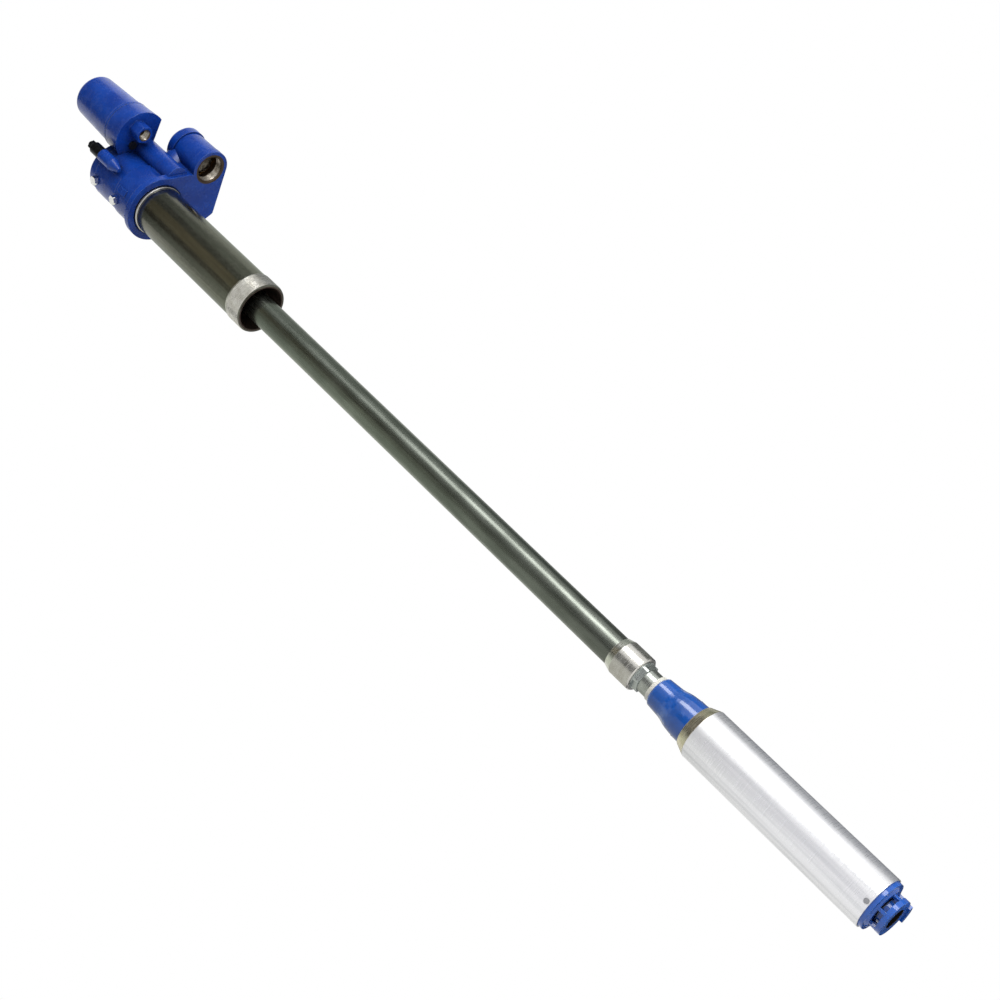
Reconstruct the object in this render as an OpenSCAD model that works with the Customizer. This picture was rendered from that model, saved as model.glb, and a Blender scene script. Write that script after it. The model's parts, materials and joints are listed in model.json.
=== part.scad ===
// Telescopic submersible pump for a fuel tank: a manifold and packer head on a riser pipe,
// a two-part column that slides and locks, and a slim electric pump unit on the inner pipe.
// Millimetres, +Z up. The origin is the centre of the riser's lower end.

/* [Riser] */
// Length of riser between its lower end and the manifold
riser_l = 394; // [300:1:600]
// Wall of the riser pipe between its threads
riser_wall = 5.42; // [4:0.01:8]
// How far the threads stand proud of the pipe between them
thread_proud = 0.6; // [0.55:0.05:1]
// Length of the bare thread at the lower end
riser_thread_l = 47; // [35:1:60]
// Length of riser screwed into the manifold
riser_grip = 24; // [18:1:30]
// Bare thread left showing under the manifold
thread_show = 8; // [3:1:15]
// Radial room between the pump shell and the riser bore
pass_clear = 0.33; // [0.3:0.01:1.5]

/* [Manifold] */
// Step from the riser bore to the lower packer bore, on the radius
low_step = 1.5; // [1:0.1:3]
// Step from the lower to the upper packer bore, on the radius
up_step = 2; // [1:0.1:4]
// Barrel wall around the upper packer bore
barrel_wall = 8.9; // [7:0.1:14]
// Step from the upper to the lower barrel, on the radius
barrel_step = 2.5; // [1:0.1:5]
// Height of the step in the barrel above the manifold's lower face
barrel_step_h = 76; // [72:1:84]
// Height of the barrel
barrel_h = 160; // [156:1:175]
// How far the bottom collar stands out from the barrel
collar_lip = 10; // [6:0.5:16]
// Height of the collar and of the base plate
plate_h = 18; // [12:1:22]
// Depth of the discharge chamber cut into the barrel wall
chamber_cut = 3.4; // [2:0.1:5]
// Discharge boss centre, along X
boss_x = 143; // [136:1:170]
// Discharge boss centre, along Y
boss_y = 33; // [20:1:45]
// Discharge boss radius at its foot
boss_r = 43.5; // [42:0.5:50]
// Discharge boss height
boss_h = 86; // [84:1:100]
// Radius of the rounded top of the side arm
arm_r = 30; // [24:1:32]
// Slope of the side arm down to the barrel, in degrees
arm_slope = 20; // [0:1:24]
// Radius of the flow passage in the side arm
passage_r = 13; // [8:0.5:13]
// Discharge port thread, mean radius
port_r = 29.2; // [24:0.1:29.8]
// Depth of the discharge port thread
port_depth = 22; // [18:1:24]
// Leak detector boss centre, along X
leak_x = 64; // [56:1:70]
// Leak detector boss centre, along Y
leak_y = 98; // [94:1:106]
// Leak detector boss radius
leak_r = 31; // [31:0.5:36]
// Leak detector boss height
leak_h = 98; // [80:1:110]
// Distance of each lock-down ear from the barrel axis
ear_dist = 78; // [77.5:0.5:84]
// Lock-down ear radius
ear_r = 15; // [12:0.5:18]
// Height of the lock-down ears' top face
ear_top = 151; // [140:1:154]

/* [Packer head] */
// Radial clearance of the packer lands in their bores
land_fit = 0.2; // [0.1:0.05:0.4]
// Radius of the packer flange
flange_r = 61; // [57:0.5:61]
// Thickness of the packer flange
flange_h = 22; // [18:1:32]
// Gap between the packer flange and the barrel
joint_gap = 1.5; // [0.5:0.1:3]
// Diameter of the section of the packer seals
seal_d = 4.2; // [3:0.1:5]
// Lock-down stud diameter
stud_d = 12; // [10:1:14]

/* [Check valve] */
// Bore of the valve seat
seat_bore_r = 23; // [18:0.5:24]
// Thickness of the valve seat
seat_h = 10; // [8:0.5:12]
// How far the poppet opens
valve_lift = 8; // [5:0.5:9]
// Poppet disc radius
disc_r = 27.5; // [26:0.5:28.5]
// Poppet stem radius
stem_r = 5; // [4:0.5:6]
// Height of the cap on the discharge boss
cap_h = 27; // [20:1:34]

/* [Junction box] */
// Box centre, along X
box_x = 88; // [86:1:92]
// Box centre, along Y
box_y = -45; // [-50:1:-43]
// Height of the box floor above the manifold's lower face
box_z = 139; // [130:1:150]
// Radius of the box at its floor
box_r = 62; // [60:0.5:64]
// Radius of the box at its rim
rim_r = 58.5; // [57:0.5:60]
// Thickness of the rim that carries the cover, above the packer flange
rim_h = 3.5; // [3:0.5:8]
// Wall and floor of the box
box_wall = 6; // [4:0.5:7]
// Distance from the box centre to its flat back
box_back = 38; // [36:1:44]
// Conduit hub thread, mean radius
conduit_r = 12.6; // [9:0.1:13]
// Length of the conduit hub
hub_l = 31; // [24:1:38]
// Height of the capacitor cover
cover_h = 138.8; // [130:0.1:180]
// Radius of the cover at its top
cover_top_r = 50.5; // [48:0.5:54]
// Wall of the cover
cover_wall = 2.6; // [2:0.1:4]
// Capacitor radius
capacitor_r = 22.5; // [18:0.5:23]
// Capacitor height
capacitor_h = 102; // [80:1:104]

/* [Column] */
// Length of column between the riser's lower end and the column collar
column_show = 1103; // [950:1:1400]
// Outside diameter of the outer column pipe
column_d = 60.3; // [58:0.1:62]
// Wall of the outer column pipe
column_wall = 3.9; // [3:0.1:4.4]
// Outside diameter of the inner column pipe
inner_d = 48.26; // [46:0.01:49]
// Wall of the inner column pipe
inner_wall = 3.7; // [2.8:0.1:4.5]
// Length of the inner column pipe
inner_l = 1335; // [1300:1:1500]
// How far pipes screw into the packer and the column collar
column_grip = 24; // [18:1:26]
// Outside radius of the column collar
collar2_r = 35.4; // [34:0.1:40]
// Height of the column collar
collar2_h = 61.5; // [58:0.5:80]
// Height of the collar's bevelled shoulder
shoulder_h = 14; // [8:1:20]
// Corner-to-corner radius of the lock nut
nut_r = 28.9; // [28:0.1:32]
// Height of the lock nut's hexagon
nut_h = 13; // [9:0.5:14]
// Radial clearance between the inner pipe and what slides on it
slide_fit = 0.3; // [0.3:0.05:0.6]
// Distance from the column collar to the pump unit, as photographed
rest_reach = 43; // [40:1:80]
// Outside diameter of the upper conduit tube
conduit_d = 21.3; // [20.6:0.1:24]
// Wall of the conduit tubes
conduit_wall = 2; // [1.2:0.1:2.2]
// Length of the upper conduit tube
upper_conduit_l = 1205; // [1150:1:1400]
// Room left for slack wires between the lower conduit tube and the upper one's top
wire_room = 78; // [60:1:160]

/* [Pump unit] */
// Outside diameter of the pump shell
shell_d = 101.6; // [101:0.1:106]
// Wall of the pump shell
shell_wall = 1.9; // [1.5:0.1:3]
// Height of the pale seal ring on top of the discharge head
ring_seal_h = 8; // [5:0.5:10]
// Length of the discharge head's tapered neck
cone_l = 91.5; // [86:0.5:120]
// Wall of the discharge head
head_wall = 4.5; // [4:0.1:5]
// Height of the bevelled shell end ring
ring_h = 20; // [16:0.5:26]
// Length of the discharge head inside the shell
head_spigot = 11.5; // [9:0.5:16]
// Radius of the motor can
motor_r = 41; // [38:0.5:42]
// Wall of the motor can
can_wall = 1.5; // [1:0.1:2]
// Thickness of each motor end bell outside the can
bell_cap = 12; // [10:0.5:14]
// Length of the stator and rotor cores
core_l = 150; // [110:1:220]
// Length of each winding overhang
winding_l = 28; // [20:1:32]
// Outside radius of the rotor core
rotor_r = 19.1; // [17:0.1:20]
// Air gap between rotor and stator
air_gap = 0.4; // [0.35:0.05:0.7]
// Shaft radius in the rotor
shaft_r = 9; // [8.5:0.1:10]
// Shaft radius in its bushes
journal_r = 8; // [7.5:0.1:8.3]
// Shaft radius in the impellers
drive_r = 7; // [6:0.1:7.3]
// Height of one pump stage
stage_h = 51.2; // [46:0.1:60]
// Impeller radius
impeller_r = 34; // [28:0.5:37]
// Number of vanes on each impeller
impeller_vanes = 6; // [4:1:8]
// Number of vanes on each diffuser
diffuser_vanes = 7; // [5:1:9]

/* [Inlet bell] */
// Length of the bell inside the shell
bell_spigot = 14.1; // [12:0.1:18]
// Height of the bell's flange below the shell
bell_flange_h = 8.2; // [6:0.1:12]
// Radius of the ribbed cage
cage_r = 36.2; // [34:0.1:38]
// Height of the windows in the cage
window_h = 12; // [8:0.5:18]
// Number of ribs between the windows
bell_ribs = 6; // [4:1:8]
// Width of each rib
rib_w = 6; // [4:0.5:9]
// Height of the bottom ring of the bell
bell_ring_h = 10; // [8:0.5:16]
// Radius of the suction eye in the bottom of the bell
eye_r = 20; // [17:0.5:22]
// How far the foot lug reaches below the bell
lug_h = 6; // [3:0.5:10]
// Height of the throat around the suction eye
throat_h = 20; // [14:0.5:24]
// Wall of that throat
throat_wall = 3.5; // [2:0.5:5]

/* [Hidden] */
$fn = 64;

// Overshoot of every cutting solid, and the clearance of parts that screw or press together
cut = 1;
fit = 0.1;
bush_fit = 0.05;

// Paints and metals as photographed
blue = "#2445a4";
bronze_steel = "#6b6a5c";
bright_steel = "#c9c8c6";
dark_steel = "#3c3f40";
black_part = "#141416";
brass_metal = "#b08d4a";
rubber_black = "#1c1c1c";
cast_grey = "#7d7f80";
copper_wire = "#b5642c";

// Radii around the main axis, each worked out from the pump that has to pass through
shell_r = shell_d / 2;
riser_bore_r = shell_r + pass_clear;
riser_r = riser_bore_r + riser_wall;
thread_r = riser_r + thread_proud;
low_bore_r = riser_bore_r + low_step;
up_bore_r = low_bore_r + up_step;
barrel_top_r = up_bore_r + barrel_wall;
barrel_r = barrel_top_r + barrel_step;
collar_r = barrel_r + collar_lip;
chamber_r = up_bore_r + chamber_cut;

// Heights in the head, above the manifold's lower face
chamber_low = riser_grip + 20;
chamber_high = chamber_low + 42;
flange_low = barrel_h + joint_gap;
flange_top = flange_low + flange_h;
cavity_z = chamber_high + 36;
passage_z = chamber_low + 17;

// Check valve, from the port upwards
valve_chamber_r = port_r + 2.8;
valve_bore_r = valve_chamber_r + 2.3;
seat_low = port_depth + valve_lift + 8;
seat_top = seat_low + seat_h;
seat_gap = 0.1;
disc_h = 6;
hub_h = 8;
retainer_z = seat_top + 24;
retainer_h = 3;
stem_top = retainer_z + 14;
cap_gasket_h = 1;
cap_plug_l = 10;
link_r = 6;
link_z = (port_depth + seat_low) / 2;
boss_xy = [boss_x, boss_y];
leak_xy = [leak_x, leak_y];
boss_dist = norm(boss_xy);
boss_turn = atan2(boss_y, boss_x);
boss_top_r = boss_r - 2;
near_turn = -38;
near_boss_turn = boss_turn + 205;
corner_xy = [leak_x + 11, leak_y + 27];
corner_r = 8;
leak_port_r = 24;
ear_turn = -87;
ear_h = 40;
ear_taper = 26;
stud_grip = 30;
washer_h = 3.5;
clamp_lap = 9;
lock_nut_h = 10.5;
plug_turn = -135.5;
plug_r = 7;
plug_head_h = 8;
plug_low_z = passage_z + 5;
plug_high_z = barrel_h - 12;
pad_turn = -111;

// Junction box; its flat back is square to back_turn
box_xy = [box_x, box_y];
back_turn = 60;
pedestal_r = 26;
pedestal_xy = [78, -14];
pedestal_turn = atan2(pedestal_xy[1], pedestal_xy[0]);
wire_r = 7.5;
hub_xy = [box_x + 10, box_y - 26];
hub_hex_r = conduit_r + 8.4;
blank_xy = [box_x - 24, box_y - 3.5];
blank_r = 8;
cavity_r = rim_r - box_wall;
floor_z = box_z + box_wall;
rim_low = flange_top + 1;
rim_z = rim_low + rim_h;
notch_r = barrel_top_r + 1;
gasket_h = 1.2;
cover_z = rim_z + gasket_h;
cap_xy = [box_x + 6, box_y - 12];
shelf_z = floor_z + 19;
shelf_h = 4;
screw_span = 17.5;
screw_d = 8;
connector_r = 8.5;

// Column, measured down from the riser's end
column_r = column_d / 2;
column_bore_r = column_r - column_wall;
inner_r = inner_d / 2;
inner_bore_r = inner_r - inner_wall;
collar_top = -column_show;
collar_low = collar_top - collar2_h;
pipe_low = collar_top - column_grip;
gland_r = column_r - 0.6;
slide_r = inner_r + slide_fit;
gland_l = 12;
follower_h = 5;
nut_gap = 0.5;
pump_top = collar_low - rest_reach;
inner_grip = 26;
guide_l = 24;
conduit_top = riser_l + cavity_z - connector_r;
conduit_r_out = conduit_d / 2;
lower_conduit_r = conduit_r_out - conduit_wall - 0.7;

// Pump unit, measured down from the top of the discharge head
shell_bore_r = shell_r - shell_wall;
spigot_r = shell_bore_r - 0.3;
ring_top = cone_l;
shell_top = ring_top + ring_h;
flange_high = shell_top - 1.5;
head_end = shell_top + head_spigot;
can_top = head_end + bell_cap;
bearing_room = 17;
core_top = can_top + bearing_room + winding_l;
core_low = core_top + core_l;
can_low = core_low + winding_l + bearing_room + 10;
motor_low = can_low + bell_cap;
stages_low = motor_low + 2 * stage_h;
shell_low = stages_low + bell_spigot;
flange_end = shell_low + bell_flange_h;
fairing_h = 4;
cage_top = flange_end + fairing_h;
cage_low = cage_top + window_h;
bell_low = cage_low + bell_ring_h;
neck_top_r = inner_r + 5.8;
neck_low_r = 40.9;
ring_bore_r = neck_low_r + 0.3;
conduit_hub_top = 60;
conduit_grip = 25;
bush_r = journal_r + 4;
bush_l = 22;
stage_chamber = 24;
stage_disc = 3.5;
eye_plate = 3;
impeller_eye_r = 14.5;
neck_r = impeller_eye_r + 2.4;
plate_eye_r = neck_r + 0.4;
screw_turns = [-101, 19, 139];
bell_screw_d = 5;

// A round tube between two heights
module tube(low, high, outer, inner) {
    difference() {
        translate([0, 0, low]) cylinder(h = high - low, r = outer);
        translate([0, 0, low - cut]) cylinder(h = high - low + 2 * cut, r = inner);
    }
}

// A round bar between two heights, tapered where a second radius is given
module bar(low, high, r, top_r = undef) {
    translate([0, 0, low]) cylinder(h = high - low, r1 = r, r2 = is_undef(top_r) ? r : top_r);
}

// A ring of round section around the axis
module ring(z, r, section_r) {
    translate([0, 0, z]) rotate_extrude() translate([r, 0]) circle(r = section_r);
}

// A hexagonal bar whose corners are rounded by a turning cut
module hexagon(low, high, corner_r) {
    intersection() {
        translate([0, 0, low]) cylinder(h = high - low, r = corner_r, $fn = 6);
        bar(low - cut, high + cut, corner_r * 0.96);
    }
}

// A bar that lies level and points away from the main axis
module spoke(turn, z, from, to, r) {
    rotate([0, 0, turn]) translate([from, 0, z]) rotate([0, 90, 0]) cylinder(h = to - from, r = r);
}

// A point at a radius and a bearing
function polar(r, turn) = [r * cos(turn), r * sin(turn)];

// The two outer tangent lines of two circles, as a four-cornered outline
function tangents(a, ra, b, rb) =
    let (d = b - a, l = norm(d), u = d / l, n = [-u[1], u[0]], s = (ra - rb) / l, c = sqrt(1 - s * s))
    [a + ra * (s * u + c * n), b + rb * (s * u + c * n), b + rb * (s * u - c * n), a + ra * (s * u - c * n)];

// Points of an arc, for turned profiles
function arc(centre, r, from, to, steps) =
    [for (i = [0:steps]) centre + polar(r, from + (to - from) * i / steps)];

// Riser

module riser_pipe() {
    color(bronze_steel) difference() {
        union() {
            bar(0, riser_l + riser_grip, riser_r);
            bar(0, riser_thread_l, thread_r);
            bar(riser_l - thread_show, riser_l + riser_grip, thread_r);
        }
        bar(-cut, riser_l + riser_grip + cut, riser_bore_r);
    }
}

// Manifold

module at_boss() {
    translate([boss_x, boss_y, riser_l]) children();
}

module at_leak() {
    translate([leak_x, leak_y, riser_l]) children();
}

module at_ears() {
    for (turn = [ear_turn, ear_turn + 180]) {
        translate([0, 0, riser_l]) rotate([0, 0, turn]) translate([ear_dist, 0, 0]) children();
    }
}

// Outline of the base plate, with the collar left out
module plate_plan() {
    translate(boss_xy) circle(r = boss_r);
    translate(leak_xy) circle(r = leak_r + 1);
    translate(corner_xy) circle(r = corner_r);
    polygon(tangents(boss_xy, boss_r, corner_xy, corner_r));
    polygon(tangents(corner_xy, corner_r, leak_xy, leak_r + 1));
    polygon(tangents([0, 0], barrel_r, leak_xy, leak_r + 1));
    polygon([[0, 0], polar(collar_r - 1, near_turn), boss_xy + polar(boss_r - 1, near_boss_turn), boss_xy,
        corner_xy, leak_xy]);
}

// Side arm: a block with a rounded top, flared where it leaves the barrel
module side_arm() {
    side = polar(arm_r - 0.4, boss_turn + 90);
    translate([0, 0, plate_h / 2]) linear_extrude(height = boss_h - 20 - plate_h / 2)
        polygon([[0, 0], polar(barrel_r - 2, near_turn), boss_xy + polar(boss_r - 4, near_boss_turn),
            boss_xy, boss_xy + side, side]);
    reach = boss_dist - up_bore_r + 6;
    translate([boss_x, boss_y, boss_h + 9]) rotate([0, 0, boss_turn]) rotate([0, -90 - arm_slope, 0])
        cylinder(h = reach / cos(arm_slope), r = arm_r);
}

module barrel() {
    bar(0, plate_h - 4, collar_r);
    translate([0, 0, plate_h - 4]) cylinder(h = collar_lip, r1 = collar_r, r2 = barrel_r);
    bar(0, barrel_step_h, barrel_r);
    translate([0, 0, barrel_step_h]) cylinder(h = barrel_step, r1 = barrel_r, r2 = barrel_top_r);
    bar(0, barrel_h, barrel_top_r);
}

// Lock-down ear in its own place, with the web that joins it to the barrel
module ear() {
    bar(ear_top - ear_h, ear_top, ear_r);
    translate([0, 0, ear_top - ear_h - ear_taper]) cylinder(h = ear_taper, r1 = ear_r / 3, r2 = ear_r);
    reach = ear_dist - barrel_top_r + 4;
    translate([-reach, -ear_r * 0.8, ear_top - 50]) cube([reach, ear_r * 1.6, 50]);
}

module manifold_solid() {
    barrel();
    linear_extrude(height = plate_h) plate_plan();
    side_arm();
    translate(boss_xy) bar(plate_h / 2, boss_h, boss_r - 0.5, boss_top_r);
    translate(leak_xy) bar(plate_h / 2, leak_h, leak_r);
    translate([0, 0, plate_h / 2]) {
        linear_extrude(height = 53) polygon(tangents([0, 0], 12, leak_xy, 12));
        linear_extrude(height = 35) polygon(tangents(boss_xy, 8, leak_xy, 8));
    }
    translate(pedestal_xy) bar(plate_h / 2, box_z, pedestal_r);
    spoke(plug_turn, plug_low_z, barrel_r - 10, barrel_r + 3, plug_r + 4);
    spoke(plug_turn, plug_high_z, barrel_top_r - 8, barrel_top_r + 3, plug_r + 3);
    rotate([0, 0, pad_turn]) translate([barrel_r - 6, -7.5, plate_h + 20]) cube([8.5, 15, 29]);
}

module manifold_bores() {
    bar(-cut, riser_grip, thread_r + fit);
    translate([0, 0, -cut]) cylinder(h = 3 + cut, r1 = thread_r + 5 + cut, r2 = thread_r);
    bar(riser_grip - cut, chamber_low + cut, low_bore_r);
    bar(chamber_low, chamber_high, chamber_r);
    bar(chamber_high - cut, barrel_h + cut, up_bore_r);
    spoke(boss_turn, passage_z, up_bore_r, boss_dist, passage_r);
    spoke(pedestal_turn, cavity_z, up_bore_r - 5, norm(pedestal_xy), connector_r + fit);
    translate(pedestal_xy) bar(cavity_z, box_z + cut, wire_r);
    spoke(plug_turn, plug_low_z, chamber_r - 3, barrel_r + 4, plug_r + fit);
    spoke(plug_turn, plug_high_z, up_bore_r + 3, barrel_top_r + 4, plug_r + fit);
    translate(boss_xy) {
        translate([0, 0, -cut]) cylinder(h = 2.3 + cut, r1 = port_r + 2.3 + cut, r2 = port_r);
        bar(-cut, port_depth + cut, port_r);
        bar(port_depth, seat_low + cut, valve_chamber_r);
        bar(seat_low, boss_h + cut, valve_bore_r);
    }
    translate(boss_xy) bar(boss_h, boss_h + 2 * cap_h, boss_top_r + 4.5);
    translate(leak_xy) {
        bar(link_z, leak_h + cut, leak_port_r - 8);
        bar(leak_h - 24, leak_h + cut, leak_port_r + fit);
    }
    link = boss_xy - leak_xy;
    translate([leak_x, leak_y, link_z]) rotate([0, 0, atan2(link[1], link[0])]) rotate([0, 90, 0])
        cylinder(h = norm(link), r = link_r);
    for (turn = screw_bearings) {
        translate(pedestal_screw(turn)) bar(box_z - 20, box_z + cut, screw_d / 2 + fit);
    }
}

// Place of a screw that holds the junction box on its pedestal
screw_bearings = [-22, -95];
function pedestal_screw(turn) = pedestal_xy + polar(screw_span, turn);

module manifold_body() {
    color(blue) difference() {
        union() {
            translate([0, 0, riser_l]) manifold_solid();
            at_ears() ear();
        }
        translate([0, 0, riser_l]) manifold_bores();
        at_ears() bar(ear_top - stud_grip, ear_top + cut, stud_d / 2 + fit);
    }
}

module plug_at(z, face_r) {
    color(bright_steel) {
        spoke(plug_turn, z, face_r - 8, face_r, plug_r);
        rotate([0, 0, plug_turn]) translate([face_r, 0, z]) rotate([0, 90, 0]) hexagon(0, plug_head_h, plug_r + 4);
    }
}

module port_plugs() {
    translate([0, 0, riser_l]) {
        plug_at(plug_low_z, barrel_r + 3);
        plug_at(plug_high_z, barrel_top_r + 3);
    }
}

module leak_port_plug() {
    color(dark_steel) at_leak() {
        bar(leak_h - 20, leak_h, leak_port_r);
        translate([-11, -11, leak_h]) cube([22, 22, 13]);
    }
}

// Packer head

land_low_r = low_bore_r - land_fit;
land_high_r = up_bore_r - land_fit;
seal_heights = [[riser_grip + 10, land_low_r], [chamber_high + 12, land_high_r],
    [flange_low - 17, land_high_r]];

module packer_profile() {
    polygon([[0, riser_grip + 1], [land_low_r, riser_grip + 1], [land_low_r, chamber_low],
        [38, chamber_low + 4], [38, chamber_high - 4], [land_high_r, chamber_high],
        [land_high_r, flange_low], [flange_r - 1, flange_low], [flange_r, flange_low + 1],
        [flange_r, flange_top - 3], [flange_r - 3, flange_top], [0, flange_top]]);
}

module packer_head() {
    color(blue) translate([0, 0, riser_l]) difference() {
        rotate_extrude() packer_profile();
        for (s = seal_heights) {
            tube(s[0] - seal_d / 2 - 0.4, s[0] + seal_d / 2 + 0.4, s[1] + cut, s[1] - seal_d);
        }
        bar(riser_grip, riser_grip + 1 + column_grip, column_r + fit);
        bar(riser_grip, chamber_high + 8, column_bore_r);
        for (turn = [45:90:315]) {
            spoke(turn, (chamber_low + chamber_high) / 2, 20, 45, 11);
        }
        bar(chamber_high, cavity_z, conduit_r_out + fit);
        bar(cavity_z - connector_r, cavity_z + connector_r, conduit_r_out + 1.5);
        spoke(pedestal_turn, cavity_z, 5, land_high_r + cut, connector_r + fit);
        bar(flange_top - 11, flange_top + cut, 6 + fit);
        translate([-30, 12, 0]) bar(flange_top - 13, flange_top + cut, 6 + fit);
    }
}

module packer_seals() {
    color(rubber_black) translate([0, 0, riser_l]) {
        for (s = seal_heights) {
            ring(s[0], s[1] - seal_d / 2 + 0.05, seal_d / 2);
        }
    }
}

module lockdown_studs() {
    color(dark_steel) at_ears() bar(ear_top - stud_grip, flange_top + washer_h + lock_nut_h + 5, stud_d / 2);
}

module lockdown_sleeves() {
    sleeve_r = min(ear_r - 1, ear_dist - barrel_top_r - 0.3);
    color(black_part) at_ears() tube(ear_top, flange_top, sleeve_r, stud_d / 2 + 0.3);
}

module lockdown_washers() {
    reach = ear_dist - flange_r + clamp_lap;
    color(black_part) at_ears() difference() {
        union() {
            bar(flange_top, flange_top + washer_h, stud_d - 0.5);
            translate([-reach, -stud_d * 0.8, flange_top]) cube([reach, stud_d * 1.6, washer_h]);
        }
        bar(flange_top - cut, flange_top + washer_h + cut, stud_d / 2 + 0.3);
    }
}

module lockdown_nuts() {
    color(black_part) at_ears() difference() {
        hexagon(flange_top + washer_h, flange_top + washer_h + lock_nut_h, stud_d * 0.92);
        bar(flange_top, flange_top + 2 * lock_nut_h, stud_d / 2 + fit);
    }
}

module lifting_eye() {
    color(bright_steel) translate([0, 0, riser_l]) {
        bar(flange_top - 10, flange_top, 6);
        bar(flange_top, flange_top + 5, 12);
        translate([0, 0, flange_top + 23]) rotate([90, 0, 20]) rotate_extrude() translate([16, 0]) circle(r = 4.5);
    }
}

module relief_valve_cap() {
    color(brass_metal) translate([-30, 12, riser_l]) {
        bar(flange_top - 12, flange_top, 6);
        hexagon(flange_top, flange_top + 9, 11);
        bar(flange_top + 9, flange_top + 16, 7);
    }
}

// Check valve in the discharge boss

module valve_seat() {
    guide_r = stem_r + 3;
    color(brass_metal) at_boss() difference() {
        union() {
            tube(seat_low, seat_top, valve_bore_r - fit, seat_bore_r);
            for (turn = [90, 210, 330]) {
                rotate([0, 0, turn]) translate([stem_r + 2, -2.5, seat_top - 4]) cube([seat_bore_r - stem_r, 5, 3.5]);
            }
            bar(seat_top - 5, seat_top, stem_r + 8);
            bar(seat_top - 1, seat_top + hub_h, guide_r);
        }
        bar(seat_low, seat_top + hub_h + cut, stem_r + bush_fit);
    }
}

module valve_poppet() {
    face = seat_low - seat_gap;
    color(bright_steel) at_boss() {
        difference() {
            translate([0, 0, face - disc_h]) cylinder(h = disc_h, r1 = disc_r - 2, r2 = disc_r);
            tube(face - 1.3, face + cut, disc_r - 1, disc_r - 5.2);
        }
        bar(face - disc_h, stem_top, stem_r);
        bar(retainer_z, retainer_z + retainer_h, stem_r + 7);
    }
}

module poppet_seal() {
    face = seat_low - seat_gap;
    color(rubber_black) at_boss() tube(face - 1.3, face, disc_r - 1.1, disc_r - 5.1);
}

// Round wire wound on a helix: rings of points joined by quads, with flat ends
module coil(mean_r, wire_r, low, high, turns, steps, sides) {
    count = turns * steps;
    function spot(i, j) = let (turn = 360 * i / steps, w = 360 * j / sides, r = mean_r + wire_r * cos(w))
        [r * cos(turn), r * sin(turn), low + wire_r + (high - low - 2 * wire_r) * i / count + wire_r * sin(w)];
    points = [for (i = [0:count], j = [0:sides - 1]) spot(i, j)];
    walls = [for (i = [0:count - 1], j = [0:sides - 1])
        [i * sides + j, i * sides + (j + 1) % sides, (i + 1) * sides + (j + 1) % sides, (i + 1) * sides + j]];
    start = [for (j = [sides - 1:-1:0]) j];
    end = [for (j = [0:sides - 1]) count * sides + j];
    polyhedron(points = points, faces = concat(walls, [start], [end]));
}

module valve_spring() {
    color(bright_steel) at_boss() coil(stem_r + 5.5, 0.9, seat_top + 0.2, retainer_z - 0.2, 5, 20, 8);
}

module valve_cap() {
    low = boss_h + cap_gasket_h;
    color(blue) at_boss() difference() {
        union() {
            bar(boss_h - cap_plug_l, low + cut, valve_bore_r - 0.3);
            bar(low, low + cap_h - 8, boss_top_r + 3);
            translate([0, 0, low + cap_h - 8]) cylinder(h = 8, r1 = boss_top_r + 3, r2 = boss_top_r - 4);
            hexagon(low + cap_h - cut, low + cap_h + 9, 14);
        }
        bar(boss_h - cap_plug_l - cut, stem_top + 6, stem_r + 9);
    }
}

module valve_cap_seal() {
    color(rubber_black) at_boss() tube(boss_h, boss_h + cap_gasket_h, boss_top_r - 1, valve_bore_r + 0.3);
}

// Junction box on its pedestal

module at_box() {
    translate([box_x, box_y, riser_l]) children();
}

// Everything on the box's side of a flat back at the given distance
module before_back(distance) {
    side = 2 * box_r;
    rotate([0, 0, back_turn]) translate([distance - side, -side, 0]) cube([side, 2 * side, rim_z + 5]);
}

module junction_box() {
    color(blue) difference() {
        union() {
            difference() {
                at_box() intersection() {
                    translate([0, 0, box_z]) cylinder(h = rim_z - box_z, r1 = box_r, r2 = rim_r);
                    before_back(box_back);
                }
                bar(riser_l, riser_l + rim_low, notch_r);
            }
            at_box() bar(rim_low, rim_z, rim_r);
            translate([hub_xy[0], hub_xy[1], riser_l]) hexagon(box_z - hub_l, box_z + cut, hub_hex_r);
        }
        difference() {
            at_box() intersection() {
                bar(floor_z, rim_z + cut, cavity_r);
                before_back(box_back - box_wall);
            }
            bar(riser_l, riser_l + rim_z + 2 * cut, notch_r + box_wall);
        }
        translate([hub_xy[0], hub_xy[1], riser_l]) {
            bar(box_z - hub_l - cut, box_z - hub_l + 22, conduit_r);
            translate([0, 0, box_z - hub_l - cut]) cylinder(h = 1.5 + cut, r1 = conduit_r + 1.5 + cut, r2 = conduit_r);
            bar(box_z - hub_l, floor_z + cut, conduit_r - 2);
        }
        translate([blank_xy[0], blank_xy[1], riser_l]) bar(box_z - cut, floor_z + cut, blank_r + fit);
        translate([pedestal_xy[0], pedestal_xy[1], riser_l]) bar(box_z - cut, floor_z + cut, wire_r);
        for (turn = screw_bearings) {
            translate(pedestal_screw(turn)) bar(riser_l + box_z - cut, riser_l + floor_z + cut, screw_d / 2 + fit);
        }
    }
}

module blanking_plug() {
    color(black_part) translate([blank_xy[0], blank_xy[1], riser_l]) {
        bar(box_z - 4, box_z, blank_r + 1.5);
        bar(box_z, floor_z + 1.5, blank_r);
    }
}

module box_screws() {
    color(bright_steel) for (turn = screw_bearings) {
        translate(pedestal_screw(turn)) translate([0, 0, riser_l]) {
            bar(box_z - 18, floor_z, screw_d / 2);
            hexagon(floor_z, floor_z + 5, screw_d * 0.85);
        }
    }
}

module feed_connector() {
    color(black_part) translate([0, 0, riser_l]) {
        spoke(pedestal_turn, cavity_z, conduit_r_out + 4, norm(pedestal_xy) - wire_r, connector_r);
    }
}

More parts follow.
